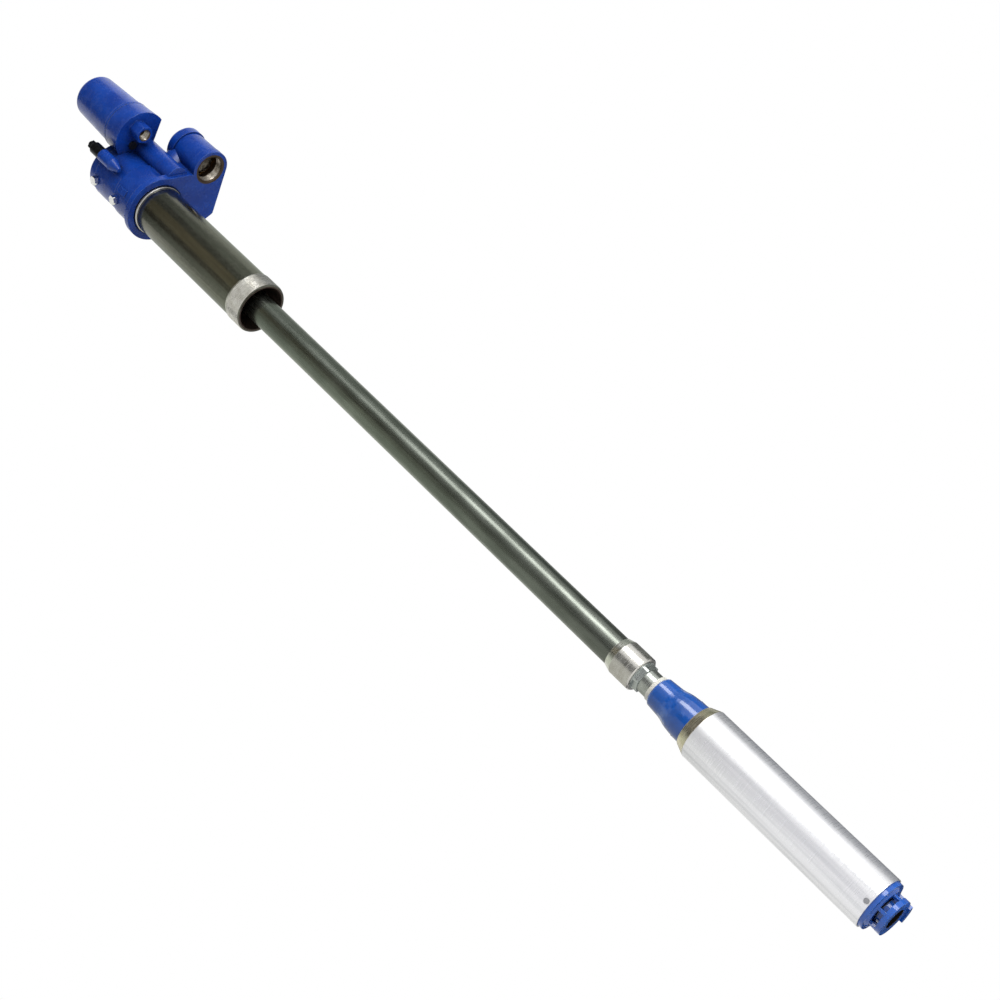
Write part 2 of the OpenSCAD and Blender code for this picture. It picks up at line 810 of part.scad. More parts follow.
module terminal_block() {
    color(black_part) at_box() translate([-30, -40.5, floor_z]) difference() {
        cube([11, 28.5, 14]);
        for (i = [0:2]) {
            translate([4, 2.5 + i * 9, 5]) cube([10, 7, 12]);
        }
    }
}

module at_capacitor() {
    translate([cap_xy[0], cap_xy[1], riser_l]) children();
}

module capacitor() {
    low = shelf_z + shelf_h;
    color(bright_steel) at_capacitor() {
        bar(low, low + capacitor_h, capacitor_r);
        tube(low + capacitor_h, low + capacitor_h + 2, capacitor_r, capacitor_r - 2);
        for (x = [-8, 8]) {
            translate([x - 3, -0.5, low + capacitor_h]) cube([6, 1, 9]);
        }
    }
}

module capacitor_clamp() {
    color(black_part) at_capacitor() {
        bar(shelf_z, shelf_z + shelf_h, capacitor_r + 3);
        tube(shelf_z, shelf_z + shelf_h + 22, capacitor_r + 3, capacitor_r + fit);
        for (foot = [[18, 0], [-9, 16], [-18, -3]]) {
            translate(foot) bar(floor_z, shelf_z + cut, 4);
        }
    }
}

module cover_seal() {
    color(rubber_black) at_box() tube(rim_z, cover_z, rim_r - 0.5, rim_r - 5);
}

// Half-section of the cover, given how far its faces are set in from the outside
module cover_profile(inset, low) {
    round_r = 8;
    side_low_r = rim_r - 2.5;
    lean = (side_low_r - cover_top_r) / (cover_h - 9);
    edge = [cover_top_r - round_r, cover_h - round_r];
    polygon(concat([[0, low], [rim_r - inset, low], [rim_r - inset, 6],
        [side_low_r + lean - inset, 9]],
        arc(edge, round_r - inset, 0, 90, 8), [[0, cover_h - inset]]));
}

module capacitor_cover() {
    color(blue) translate([box_x, box_y, riser_l + cover_z]) difference() {
        rotate_extrude() cover_profile(0, 0);
        rotate_extrude() cover_profile(cover_wall, -cut);
    }
}

// Column

module upper_conduit() {
    top = conduit_top;
    color(bright_steel) tube(top - upper_conduit_l, top, conduit_r_out, conduit_r_out - conduit_wall);
}

module outer_column_pipe() {
    color(dark_steel) tube(pipe_low, riser_l + riser_grip + 1 + column_grip, column_r, column_bore_r);
}

module column_collar() {
    color(bright_steel) difference() {
        rotate_extrude() polygon([[0, collar_top], [column_r + 1.4, collar_top],
            [collar2_r, collar_top - shoulder_h], [collar2_r, collar_low + 2], [collar2_r - 2, collar_low],
            [0, collar_low]]);
        bar(pipe_low, collar_top + cut, column_r + fit);
        bar(collar_low - cut, pipe_low + cut, gland_r);
    }
}

module gland_seals() {
    color(rubber_black) for (i = [0, 1]) {
        high = pipe_low - i * gland_l / 2;
        tube(high - gland_l / 2 + 0.2, high, gland_r - fit, slide_r);
    }
}

module gland_follower() {
    high = pipe_low - gland_l - 0.2;
    color(brass_metal) tube(high - follower_h, high, gland_r - 0.3, slide_r);
}

module lock_nut() {
    sleeve_top = pipe_low - gland_l - 0.3 - follower_h;
    color(bright_steel) difference() {
        union() {
            bar(collar_low - nut_gap - cut, sleeve_top, gland_r - 0.3);
            hexagon(collar_low - nut_gap - nut_h, collar_low - nut_gap, nut_r);
        }
        bar(collar_low - nut_h - 5, sleeve_top + cut, slide_r);
    }
}

inner_low = pump_top - inner_grip;
inner_top = inner_low + inner_l;

module inner_column_pipe() {
    color(dark_steel) difference() {
        tube(inner_low, inner_top, inner_r, inner_bore_r);
        tube(inner_top - 10 - guide_l, inner_top - 10, inner_r + cut, inner_r - 1.2);
    }
}

module pipe_guide_ring() {
    color("#d8d4c4") tube(inner_top - 9.9 - guide_l, inner_top - 10.1, column_bore_r - 0.3, inner_r - 1.1);
}

module thread_seal_ring() {
    color("#dcdcd2") tube(pump_top, pump_top + ring_seal_h, inner_r + 2, inner_r + fit);
}

module lower_conduit() {
    low = pump_top - conduit_hub_top - conduit_grip;
    color(bright_steel) tube(low, conduit_top - wire_room, lower_conduit_r, lower_conduit_r - 1.4);
}

// Pump unit

module at_pump() {
    translate([0, 0, pump_top]) children();
}

// Outside of the discharge head, from its flat top down to its flange in the shell
function head_outline() = [[neck_top_r - 2, 0], [neck_top_r, -3], [neck_top_r + 1.2, -18],
    [neck_top_r + 2.3, -31], [neck_top_r + 3.7, -38], [neck_top_r + 6.3, -47],
    [neck_top_r + 7.8, -54], [neck_top_r + 9.1, -65], [neck_low_r - 0.4, -cone_l + 4],
    [neck_low_r, -flange_high]];

module discharge_head() {
    outline = head_outline();
    color(blue) at_pump() {
        difference() {
            rotate_extrude() polygon(concat([[0, 0]], outline,
                [[spigot_r, -flange_high], [spigot_r, -head_end], [0, -head_end]]));
            bar(-inner_grip, cut, inner_r + fit);
            rotate_extrude() polygon([[0, -inner_grip + cut], [inner_bore_r, -inner_grip + cut],
                [inner_bore_r, -inner_grip - 2], [neck_top_r + 4 - head_wall, -46],
                [neck_low_r - head_wall, -cone_l], [neck_low_r - head_wall, -flange_high],
                [spigot_r - head_wall, -head_end + 2], [spigot_r - head_wall, -head_end - cut],
                [0, -head_end - cut]]);
        }
        difference() {
            union() {
                bar(-head_end, -conduit_hub_top, lower_conduit_r + 5);
                for (turn = [0:90:270]) {
                    rotate([0, 0, turn]) translate([0, -2, -head_end])
                        cube([neck_low_r - 1, 4, head_end - conduit_hub_top - 10]);
                }
            }
            bar(-conduit_hub_top - conduit_grip, -conduit_hub_top + cut, lower_conduit_r + fit);
            bar(-head_end - cut, -conduit_hub_top, lower_conduit_r - 2);
        }
    }
}

module shell_end_ring() {
    color(bronze_steel) at_pump() rotate_extrude() polygon([[ring_bore_r, -ring_top],
        [ring_bore_r + 1.6, -ring_top], [shell_r, -shell_top], [shell_bore_r, -shell_top],
        [shell_bore_r, -flange_high], [ring_bore_r, -flange_high]]);
}

module at_bell_screws() {
    for (turn = screw_turns) {
        at_pump() rotate([0, 0, turn]) translate([0, 0, -shell_low + bell_spigot / 2]) rotate([0, 90, 0]) children();
    }
}

module pump_shell() {
    color("#dedfe2") difference() {
        at_pump() tube(-shell_low, -shell_top, shell_r, shell_bore_r);
        at_bell_screws() bar(shell_bore_r - cut, shell_r + cut, bell_screw_d);
    }
}

module motor_can() {
    color(bright_steel) at_pump() tube(-can_low, -can_top, motor_r, motor_r - can_wall);
}

bell_fit_r = motor_r - can_wall - fit;
bearing_hub_r = bush_r + 5;

module motor_top_bell() {
    color(cast_grey) at_pump() difference() {
        union() {
            bar(-can_top, -head_end, motor_r);
            bar(-can_top - 8, -can_top, bell_fit_r);
            bar(-can_top - bush_l, -can_top, bearing_hub_r);
        }
        bar(-can_top - bush_l - cut, -can_top, bush_r + fit);
        bar(-can_top - cut, -can_top + 5, journal_r + 2);
        translate([lower_conduit_r - 4, 0, 0]) bar(-can_top - 9, -head_end + cut, 2.5);
    }
}

module motor_bottom_bell() {
    color(cast_grey) at_pump() difference() {
        union() {
            bar(-motor_low, -can_low, motor_r);
            bar(-can_low, -can_low + 8, bell_fit_r);
            bar(-can_low, -can_low + bush_l + 3, bearing_hub_r);
        }
        bar(-can_low, -can_low + bush_l + 3 + cut, bush_r + fit);
        bar(-motor_low - cut, -can_low + cut, journal_r + 0.3);
    }
}

module shaft_bushes() {
    color(brass_metal) at_pump() {
        tube(-can_top - bush_l, -can_top, bush_r, journal_r + bush_fit);
        tube(-can_low, -can_low + bush_l, bush_r, journal_r + bush_fit);
    }
}

module stator_core() {
    bore = rotor_r + air_gap;
    color(cast_grey) at_pump() difference() {
        tube(-core_low, -core_top, motor_r - can_wall - fit, bore);
        for (i = [0:17]) {
            rotate([0, 0, i * 20]) translate([bore + 2.5, -1.8, -core_low - cut]) cube([10, 3.6, core_l + 2 * cut]);
        }
    }
}

module stator_windings() {
    mid_r = (rotor_r + air_gap + 2.5 + motor_r - can_wall) / 2;
    half = 6.5;
    color(copper_wire) at_pump() for (span = [[-core_top, -core_top + winding_l - 3], [-core_low - winding_l + 3, -core_low]]) {
        tube(span[0], span[1], mid_r + half, mid_r - half + 1);
    }
}

module rotor_core() {
    color(cast_grey) at_pump() difference() {
        tube(-core_low + 1, -core_top - 1, rotor_r, shaft_r + bush_fit);
        for (i = [0:15]) {
            rotate([0, 0, i * 22.5]) translate([rotor_r - 4, 0, -core_low]) cylinder(h = core_l, r = 1.4);
        }
    }
}

impeller_mid = 4;
drive_low = stages_low - 6;

module motor_shaft() {
    color(bright_steel) at_pump() {
        bar(-can_top - bush_l, -can_top + 4, journal_r);
        bar(-core_low - 4, -core_top + 4, shaft_r);
        bar(-motor_low, -can_top - bush_l + cut, journal_r);
        bar(-drive_low - 9, -motor_low + cut, drive_r);
    }
}

module thrust_disc() {
    high = can_low - bush_l - 3;
    color(brass_metal) at_pump() tube(-high + 0.5, -high + 6, bearing_hub_r - 2, journal_r + bush_fit);
}

// One vane: a slice of a thin round wall that leans back against the rotation
module vane_plan(inner, outer, bend, thick) {
    intersection() {
        difference() {
            translate([bend * 0.88, 0]) circle(r = bend);
            translate([bend * 0.88, 0]) circle(r = bend - thick);
        }
        difference() {
            circle(r = outer);
            circle(r = inner);
        }
        translate([-outer, 0]) square([2 * outer, outer]);
    }
}

// A stage's stationary bowl: ring, disc over the impeller and curved vanes back to the next eye
module diffuser(low, with_eye) {
    vane_top = with_eye ? stage_h - eye_plate + 1 : stage_h - 0.3;
    color(cast_grey) at_pump() translate([0, 0, -low]) {
        tube(0, stage_h, spigot_r, spigot_r - 3);
        tube(stage_chamber, stage_chamber + stage_disc, spigot_r - 9, drive_r + 6);
        for (i = [0:diffuser_vanes - 1]) {
            rotate([0, 0, i * 360 / diffuser_vanes]) translate([0, 0, stage_chamber + 1])
                linear_extrude(height = vane_top - stage_chamber - 1) vane_plan(drive_r + 13, spigot_r - 2, 29, 3);
        }
        if (with_eye) {
            tube(stage_h - eye_plate, stage_h, spigot_r - 2, plate_eye_r);
        }
    }
}

module diffuser_upper() {
    diffuser(motor_low + stage_h, false);
}

module diffuser_lower() {
    diffuser(stages_low, true);
}

// Shrouded impeller with backward-curved vanes, seen from its eye upwards
module impeller(low) {
    color("#d9c68a") at_pump() translate([0, 0, -low]) {
        tube(impeller_mid - 5.5, impeller_mid, neck_r, impeller_eye_r);
        tube(impeller_mid - 2, impeller_mid, impeller_r, impeller_eye_r);
        tube(impeller_mid + 9, impeller_mid + 11.5, impeller_r, drive_r + fit);
        tube(impeller_mid, impeller_mid + 17, drive_r + 4, drive_r + fit);
        for (i = [0:impeller_vanes - 1]) {
            rotate([0, 0, i * 360 / impeller_vanes]) translate([0, 0, impeller_mid - 1])
                linear_extrude(height = 11) vane_plan(drive_r + 3, impeller_r - 0.6, 22, 1.8);
        }
    }
}

module impeller_upper() {
    impeller(motor_low + stage_h);
}

module impeller_lower() {
    impeller(stages_low);
}

module impeller_nut() {
    color(bright_steel) at_pump() difference() {
        hexagon(-stages_low - 6, -stages_low + impeller_mid - 1, drive_r + 5);
        bar(-stages_low - 6 - cut, -stages_low + impeller_mid + cut, drive_r + fit);
    }
}

// Inlet bell: spigot and eye plate, flange, ribbed cage, bottom ring with the suction eye, foot lug

module inlet_bell() {
    bore = cage_r - 6;
    lip = 3;
    color(blue) difference() {
        at_pump() difference() {
            union() {
                tube(-shell_low, -stages_low, spigot_r, spigot_r - 8);
                tube(-stages_low - eye_plate, -stages_low, spigot_r - 2, plate_eye_r);
                tube(-flange_end, -shell_low, shell_r - 3, bore);
                translate([0, 0, -cage_top]) cylinder(h = fairing_h, r1 = cage_r + 1.3, r2 = cage_r + 5.8);
                for (i = [0:bell_ribs - 1]) {
                    rotate([0, 0, i * 360 / bell_ribs + 22]) translate([bore - 2, -rib_w / 2, -cage_low - cut])
                        cube([cage_r - bore + 2, rib_w, window_h + fairing_h + 2 * cut]);
                }
                bar(-bell_low, -cage_low, cage_r - 0.6);
                rotate([0, 0, 20]) rotate_extrude(angle = 65) translate([cage_r - 8, -bell_low - lug_h])
                    square([7, lug_h + cut]);
            }
            bar(-bell_low + lip, -shell_low + cut, bore);
            bar(-bell_low - cut, -bell_low + lip + cut, eye_r - 1);
        }
        at_bell_screws() bar(spigot_r - 7, shell_r, bell_screw_d / 2 + fit);
        at_pump() bar(-bell_low - cut, -bell_low + lip + cut, eye_r);
    }
    color(blue) at_pump() difference() {
        bar(-bell_low + lip / 2, -bell_low + throat_h, eye_r + throat_wall);
        bar(-bell_low, -bell_low + throat_h + cut, eye_r);
    }
}

module inlet_strainer() {
    r = eye_r + throat_wall - 0.5;
    color(brass_metal) at_pump() translate([0, 0, -bell_low + throat_h]) difference() {
        cylinder(h = 1.6, r = r);
        for (x = [-2:2], y = [-2:2]) {
            if (abs(x + y) < 3) {
                translate([x * 7.6 + y * 3.8, y * 6.6, -cut]) cylinder(h = 4, r = 2.4);
            }
        }
    }
}

module bell_screws() {
    color(dark_steel) at_bell_screws() {
        bar(spigot_r - 6, shell_bore_r + 0.1, bell_screw_d / 2);
        bar(shell_bore_r + 0.1, shell_r - 0.2, bell_screw_d - 0.3);
    }
}

riser_pipe();
manifold_body();
packer_head();
packer_seals();
lockdown_studs();
lockdown_sleeves();
lockdown_washers();
lockdown_nuts();
lifting_eye();
relief_valve_cap();
port_plugs();
leak_port_plug();
valve_seat();
valve_poppet();
poppet_seal();
valve_spring();
valve_cap();
valve_cap_seal();
junction_box();
blanking_plug();
box_screws();
feed_connector();
terminal_block();
capacitor();
capacitor_clamp();
cover_seal();
capacitor_cover();
upper_conduit();
outer_column_pipe();
column_collar();
gland_seals();
gland_follower();
lock_nut();
inner_column_pipe();
pipe_guide_ring();
lower_conduit();
thread_seal_ring();
discharge_head();
shell_end_ring();
pump_shell();
motor_can();
motor_top_bell();
motor_bottom_bell();
shaft_bushes();
stator_core();
stator_windings();
rotor_core();
motor_shaft();
thrust_disc();
diffuser_upper();
diffuser_lower();
impeller_upper();
impeller_lower();
impeller_nut();
inlet_bell();
inlet_strainer();
bell_screws();
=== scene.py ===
"""Looks of a telescopic submersible pump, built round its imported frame.

Every length is in metres unless a name ends in _mm. The frame's +Z runs up the riser, and its
origin is the centre of the riser's lower end.
"""

import json
import logging
import math
from dataclasses import dataclass, field, replace
from enum import Enum
from typing import Protocol

import bpy
from mathutils import Matrix, Vector

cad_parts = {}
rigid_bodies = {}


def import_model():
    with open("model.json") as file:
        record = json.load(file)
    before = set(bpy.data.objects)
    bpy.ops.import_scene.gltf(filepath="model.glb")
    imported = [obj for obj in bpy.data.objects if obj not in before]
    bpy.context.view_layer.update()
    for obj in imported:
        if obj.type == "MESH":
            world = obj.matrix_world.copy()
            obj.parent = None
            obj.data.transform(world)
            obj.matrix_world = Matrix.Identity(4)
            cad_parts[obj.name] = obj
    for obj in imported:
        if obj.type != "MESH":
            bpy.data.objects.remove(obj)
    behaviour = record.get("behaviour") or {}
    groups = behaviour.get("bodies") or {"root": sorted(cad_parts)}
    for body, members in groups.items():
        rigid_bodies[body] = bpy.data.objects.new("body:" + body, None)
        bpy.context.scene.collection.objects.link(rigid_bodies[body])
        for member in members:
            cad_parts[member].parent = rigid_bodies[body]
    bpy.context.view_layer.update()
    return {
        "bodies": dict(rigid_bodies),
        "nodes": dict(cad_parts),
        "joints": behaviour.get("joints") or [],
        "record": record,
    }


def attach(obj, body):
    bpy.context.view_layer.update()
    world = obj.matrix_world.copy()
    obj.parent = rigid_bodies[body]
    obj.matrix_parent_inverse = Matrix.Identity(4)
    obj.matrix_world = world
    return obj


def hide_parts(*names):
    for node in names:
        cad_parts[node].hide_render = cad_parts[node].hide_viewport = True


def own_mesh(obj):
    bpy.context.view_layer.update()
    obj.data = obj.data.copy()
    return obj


LOG = logging.getLogger("pump")
MM = 0.001

# A socket, and what a shader input takes: a number, or the socket that feeds it
Socket = bpy.types.NodeSocket
Value = float | Socket

# Sockets of the Mix node in its colour mode
MIX_FACTOR, MIX_A, MIX_B, MIX_RESULT = 0, 6, 7, 2
# Most of a noise's values lie between these two
NOISE_LOW, NOISE_HIGH = 0.3, 0.7
# Rays at each point that look for a close edge, and for walls that close it in
EDGE_SAMPLES, CORNER_SAMPLES = 6, 12
# Share of open surroundings at which a spot counts as closed in, and as open
CORNER_CLOSED, CORNER_OPEN = 0.3, 0.85
# Agreement of the rounded normal with the flat one where an edge begins, and at its sharpest
EDGE_BEGINS, EDGE_SHARP = 0.998, 0.9
# Share of an edge's sharpness at which its wear begins to show
WEAR_BEGINS = 0.1
# A wave texture repeats after this length divided by its scale
WAVE_PERIOD = 0.314
# Depth of a thread as a share of its pitch, and its form: shares of the pitch and of the depth
THREAD_DEPTH = 0.42
THREAD_FORM = ((0.02, 0.0), (0.40, 1.0), (0.60, 1.0), (0.98, 0.0))
# A thread's foot stands this far off the plain cylinder, so that the two don't fall together
THREAD_LIFT = 0.00006


class Axis(Enum):
    """Direction in which a finish was worked, or along which its marks run."""

    ALONG = "along the pump's axis"
    AROUND = "around the pump's axis"


class Body(Enum):
    """The frame's rigid bodies that carry new pieces."""

    HEAD = "head"


def linear_colour(hex_code: str) -> tuple[float, float, float, float]:
    """Turn an sRGB hex colour into the linear values that shaders use.

    Args:
        hex_code: colour as "#rrggbb".

    Returns:
        Linear red, green and blue, with an alpha of 1.
    """
    values = [int(hex_code[i : i + 2], 16) / 255 for i in (1, 3, 5)]
    # The sRGB curve is straight near black and a power above that.
    red, green, blue = (v / 12.92 if v <= 0.04045 else ((v + 0.055) / 1.055) ** 2.4 for v in values)
    return red, green, blue, 1.0


def add_node(
    tree: bpy.types.NodeTree,
    kind: str,
    settings: dict[str, object] | None = None,
    inputs: dict[str | int, object] | None = None,
) -> bpy.types.Node:
    """Add one node with its settings and links.

    Args:
        tree: node tree that takes the node.
        kind: Blender's name of the node type.
        settings: attributes to set on the node.
        inputs: input name or number to a value, or to the socket that feeds it.

    Returns:
        The new node.
    """
    node = tree.nodes.new(kind)
    for name, value in (settings or {}).items():
        setattr(node, name, value)
    for name, value in (inputs or {}).items():
        if isinstance(value, bpy.types.NodeSocket):
            tree.links.new(value, node.inputs[name])
        else:
            node.inputs[name].default_value = value
    return node


def background_rays(tree: bpy.types.NodeTree) -> Socket:
    """Give 1 for rays that show the background, straight, mirrored or through glass, and 0 for light.

    Args:
        tree: node tree of the world or of the floor.

    Returns:
        The mask.
    """
    path = add_node(tree, "ShaderNodeLightPath")
    seen = path.outputs["Is Camera Ray"]
    for kind in ("Is Glossy Ray", "Is Transmission Ray"):
        pair = {0: seen, 1: path.outputs[kind]}
        seen = add_node(tree, "ShaderNodeMath", {"operation": "MAXIMUM"}, pair).outputs[0]
    return seen


@dataclass(frozen=True)
class Bore:
    """A machined hole that the paint or the zinc leaves out, in millimetres of the part's frame."""

    x: float
    y: float
    radius: float
    low: float
    high: float


@dataclass
class Recipe:
    """A material under construction, with the steps that several finishes share."""

    name: str
    tree: bpy.types.NodeTree = field(init=False)
    material: bpy.types.Material = field(init=False)
    place: Socket = field(init=False)

    def __post_init__(self) -> None:
        """Start an empty material whose pattern space is the part's frame in millimetres."""
        self.material = bpy.data.materials.new(self.name)
        self.material.use_nodes = True
        self.tree = self.material.node_tree
        self.tree.nodes.clear()
        coordinates = add_node(self.tree, "ShaderNodeTexCoord")
        self.place = add_node(
            self.tree,
            "ShaderNodeVectorMath",
            {"operation": "SCALE"},
            {0: coordinates.outputs["Object"], "Scale": 1 / MM},
        ).outputs[0]

    def stretched(self, along: float, across: float) -> Socket:
        """Give the pattern space with marks drawn out along Z or across it.

        Args:
            along: scale of the Z coordinate.
            across: scale of the X and Y coordinates.

        Returns:
            The scaled coordinates.
        """
        return add_node(
            self.tree,
            "ShaderNodeVectorMath",
            {"operation": "MULTIPLY"},
            {0: self.place, 1: (across, across, along)},
        ).outputs[0]

    def noise(self, size_mm: float, detail: float = 3.0, place: Socket | None = None) -> Socket:
        """Give a noise whose marks are about a real size.

        Args:
            size_mm: size of the marks in millimetres.
            detail: number of finer layers.
            place: coordinates to use in place of the plain ones.

        Returns:
            The noise value, about 0.2 to 0.8.
        """
        return add_node(
            self.tree,
            "ShaderNodeTexNoise",
            inputs={"Vector": place or self.place, "Scale": 1 / size_mm, "Detail": detail},
        ).outputs[0]

    def spread(
        self, value: Socket, low: float, high: float, to_low: float = 0.0, to_high: float = 1.0
    ) -> Socket:
        """Map a value from one range to another, held at the ends.

        Args:
            value: socket to map.
            low: value that becomes to_low.
            high: value that becomes to_high.
            to_low: result at low.
            to_high: result at high.

        Returns:
            The mapped value.
        """
        ranges = {"From Min": low, "From Max": high, "To Min": to_low, "To Max": to_high}
        return add_node(self.tree, "ShaderNodeMapRange", inputs={"Value": value, **ranges}).outputs[0]

    def blend(self, factor: Socket, first: str | Socket, second: str | Socket) -> Socket:
        """Mix two colours.

        Args:
            factor: 0 gives the first colour and 1 the second.
            first: hex colour, or a colour socket.
            second: hex colour, or a colour socket.

        Returns:
            The mixed colour.
        """
        pair = [linear_colour(c) if isinstance(c, str) else c for c in (first, second)]
        return add_node(
            self.tree,
            "ShaderNodeMix",
            {"data_type": "RGBA"},
            {MIX_FACTOR: factor, MIX_A: pair[0], MIX_B: pair[1]},
        ).outputs[MIX_RESULT]

    def mottle(
        self, pattern: Socket, span: tuple[float, float], first: str | Socket, second: str | Socket
    ) -> Socket:
        """Mix two colours where a pattern runs from the span's lower to its upper value."""
        return self.blend(self.spread(pattern, *span), first, second)

    def shine(self, pattern: Socket, roughness: float, swing: tuple[float, float]) -> Socket:
        """Let the roughness follow a noise: its two swings are how far it falls and rises."""
        return self.spread(pattern, NOISE_LOW, NOISE_HIGH, roughness - swing[0], roughness + swing[1])

    def rounded(self, radius_mm: float) -> Socket:
        """Give a normal that rounds every edge by a small radius."""
        radius = {"Radius": radius_mm * MM}
        return add_node(self.tree, "ShaderNodeBevel", {"samples": EDGE_SAMPLES}, radius).outputs[0]

    def recess(self, reach_mm: float) -> Socket:
        """Find closed-in spots.

        Args:
            reach_mm: how far away a facing wall still counts.

        Returns:
            A value of 1 deep in a corner and 0 on an open face.
        """
        node = add_node(
            self.tree,
            "ShaderNodeAmbientOcclusion",
            {"samples": CORNER_SAMPLES},
            {"Distance": reach_mm * MM},
        )
        return self.spread(node.outputs["AO"], CORNER_CLOSED, CORNER_OPEN, 1.0, 0.0)

    def worn_edges(self, normal: Socket, strength: float) -> Socket:
        """Find edges that wear.

        Args:
            normal: the rounded normal.
            strength: value on the sharpest edge.

        Returns:
            A value of 0 on flat faces that grows to the strength along rounded edges.
        """
        surface = add_node(self.tree, "ShaderNodeNewGeometry").outputs["Normal"]
        agreement = add_node(
            self.tree, "ShaderNodeVectorMath", {"operation": "DOT_PRODUCT"}, {0: normal, 1: surface}
        ).outputs["Value"]
        sharpness = self.spread(agreement, EDGE_BEGINS, EDGE_SHARP)
        return self.spread(sharpness, WEAR_BEGINS, 1.0, 0.0, strength)

    def math(self, operation: str, first: Value, second: Value) -> Socket:
        """Give the result of one operation on two numbers or sockets."""
        node = add_node(self.tree, "ShaderNodeMath", {"operation": operation}, {0: first, 1: second})
        return node.outputs[0]

    def inside(self, bore: Bore) -> Socket:
        """Give a value that is 1 within a bore's cylinder and 0 outside it.

        Args:
            bore: the cylinder.

        Returns:
            The mask.
        """
        offset = add_node(
            self.tree,
            "ShaderNodeVectorMath",
            {"operation": "MULTIPLY_ADD"},
            {0: self.place, 1: (1, 1, 0), 2: (-bore.x, -bore.y, 0)},
        ).outputs[0]
        reach = add_node(
            self.tree, "ShaderNodeVectorMath", {"operation": "LENGTH"}, {0: offset}
        ).outputs["Value"]
        height = add_node(self.tree, "ShaderNodeSeparateXYZ", inputs={0: self.place}).outputs["Z"]
        above = self.math("GREATER_THAN", height, bore.low)
        below = self.math("LESS_THAN", height, bore.high)
        within = self.math("LESS_THAN", reach, bore.radius)
        return self.math("MULTIPLY", within, self.math("MULTIPLY", above, below))

    def bump(self, height: Socket, depth_mm: float, normal: Socket | None = None) -> Socket:
        """Raise the surface by a height pattern.

        Args:
            height: pattern from 0 to 1.
            depth_mm: real depth of the pattern.
            normal: normal to start from.

        Returns:
            The new normal.
        """
        inputs = {"Height": height, "Distance": depth_mm * MM, "Strength": 1.0}
        if normal is not None:
            inputs["Normal"] = normal
        return add_node(self.tree, "ShaderNodeBump", inputs=inputs).outputs[0]

    def finish(self, **inputs: object) -> bpy.types.Material:
        """Join the shader's sockets and give the material.

        Args:
            **inputs: socket names with underscores for spaces, and their values or sockets.

        Returns:
            The finished material.
        """
        named = {name.replace("_", " "): value for name, value in inputs.items()}
        shader = add_node(self.tree, "ShaderNodeBsdfPrincipled", inputs=named)
        add_node(self.tree, "ShaderNodeOutputMaterial", inputs={"Surface": shader.outputs[0]})
        return self.material


class Finish(Protocol):
    """What each finish offers: a material, and the name that it is known by."""

    @property
    def name(self) -> str:
        """Give the material's name."""

    def material(self) -> bpy.types.Material:
        """Build the material."""


@dataclass(frozen=True)
class EnamelOnCastIron:
    """Glossy alkyd enamel sprayed over sand-cast iron, with machined bores left bare."""

    name: str
    colour: str
    thick_colour: str
    edge_colour: str
    bores: tuple[Bore, ...]
    # Colour of the bare bores: oiled iron, darkened as painted shade for the inside of the holes.
    bare_and_shade_colour: str = "#55483c"
    bare_roughness: float = 0.42
    bare_metallic: float = 0.85
    patch_mm: float = 38.0
    patch_span: tuple[float, float] = (0.35, 0.68)
    edge_mm: float = 1.8
    edge_strength: float = 0.5
    # Foundry sand is finer than half a millimetre, and is drawn coarser so that its grain shows.
    grain_mm: float = 1.6
    grain_depth_mm: float = 0.07
    ripple_mm: float = 7.0
    ripple_depth_mm: float = 0.16
    roughness: float = 0.24
    swing: tuple[float, float] = (0.05, 0.09)
    shine_mm: float = 16.0
    index: float = 1.5
    clear_coat: float = 0.0
    coat_roughness: float = 0.05
    # Painted shade in the casting's corners: how strongly it darkens, how far a facing wall reaches, and
    # its colour.
    corner_shade: float = 0.75
    corner_shade_reach_mm: float = 60.0
    corner_shade_colour: str = "#0b1c4e"

    def material(self) -> bpy.types.Material:
        """Build the enamel: the casting's grain shows softly through a wet-looking film.

        Returns:
            The finished material.
        """
        r = Recipe(self.name)
        # The film pulls back from sharp edges, so they read lighter than the faces.
        soft = r.rounded(self.edge_mm)
        film = r.mottle(r.noise(self.patch_mm), self.patch_span, self.colour, self.thick_colour)
        colour = r.blend(r.worn_edges(soft, self.edge_strength), film, self.edge_colour)
        # Painted shade: the corners of the casting are darkened towards a deep navy, standing in for the
        # shade that falls there.
        corner = r.math("MULTIPLY", r.recess(self.corner_shade_reach_mm), self.corner_shade)
        colour = r.blend(corner, colour, self.corner_shade_colour)
        # The sand grain lies under the paint, and the slow ripple of the sprayed film over it.
        grain = r.bump(r.noise(self.grain_mm, detail=2.0), self.grain_depth_mm, soft)
        ripple = r.bump(r.noise(self.ripple_mm, detail=1.0), self.ripple_depth_mm, grain)
        shine = r.shine(r.noise(self.shine_mm), self.roughness, self.swing)
        # Machined bores hold no paint: oiled, slightly rusted iron, drawn dark brown as painted shade
        # for the inside of the holes.
        bare = r.inside(self.bores[0])
        for bore in self.bores[1:]:
            bare = r.math("MAXIMUM", bare, r.inside(bore))
        colour = r.blend(bare, colour, self.bare_and_shade_colour)
        shine = r.math("MAXIMUM", shine, r.math("MULTIPLY", bare, self.bare_roughness))
        return r.finish(
            Base_Color=colour,
            Metallic=r.math("MULTIPLY", bare, self.bare_metallic),
            Roughness=shine,
            IOR=self.index,
            Normal=ripple,
            Coat_Weight=r.math("MULTIPLY", r.math("SUBTRACT", 1.0, bare), self.clear_coat),
            Coat_Roughness=self.coat_roughness,
        )


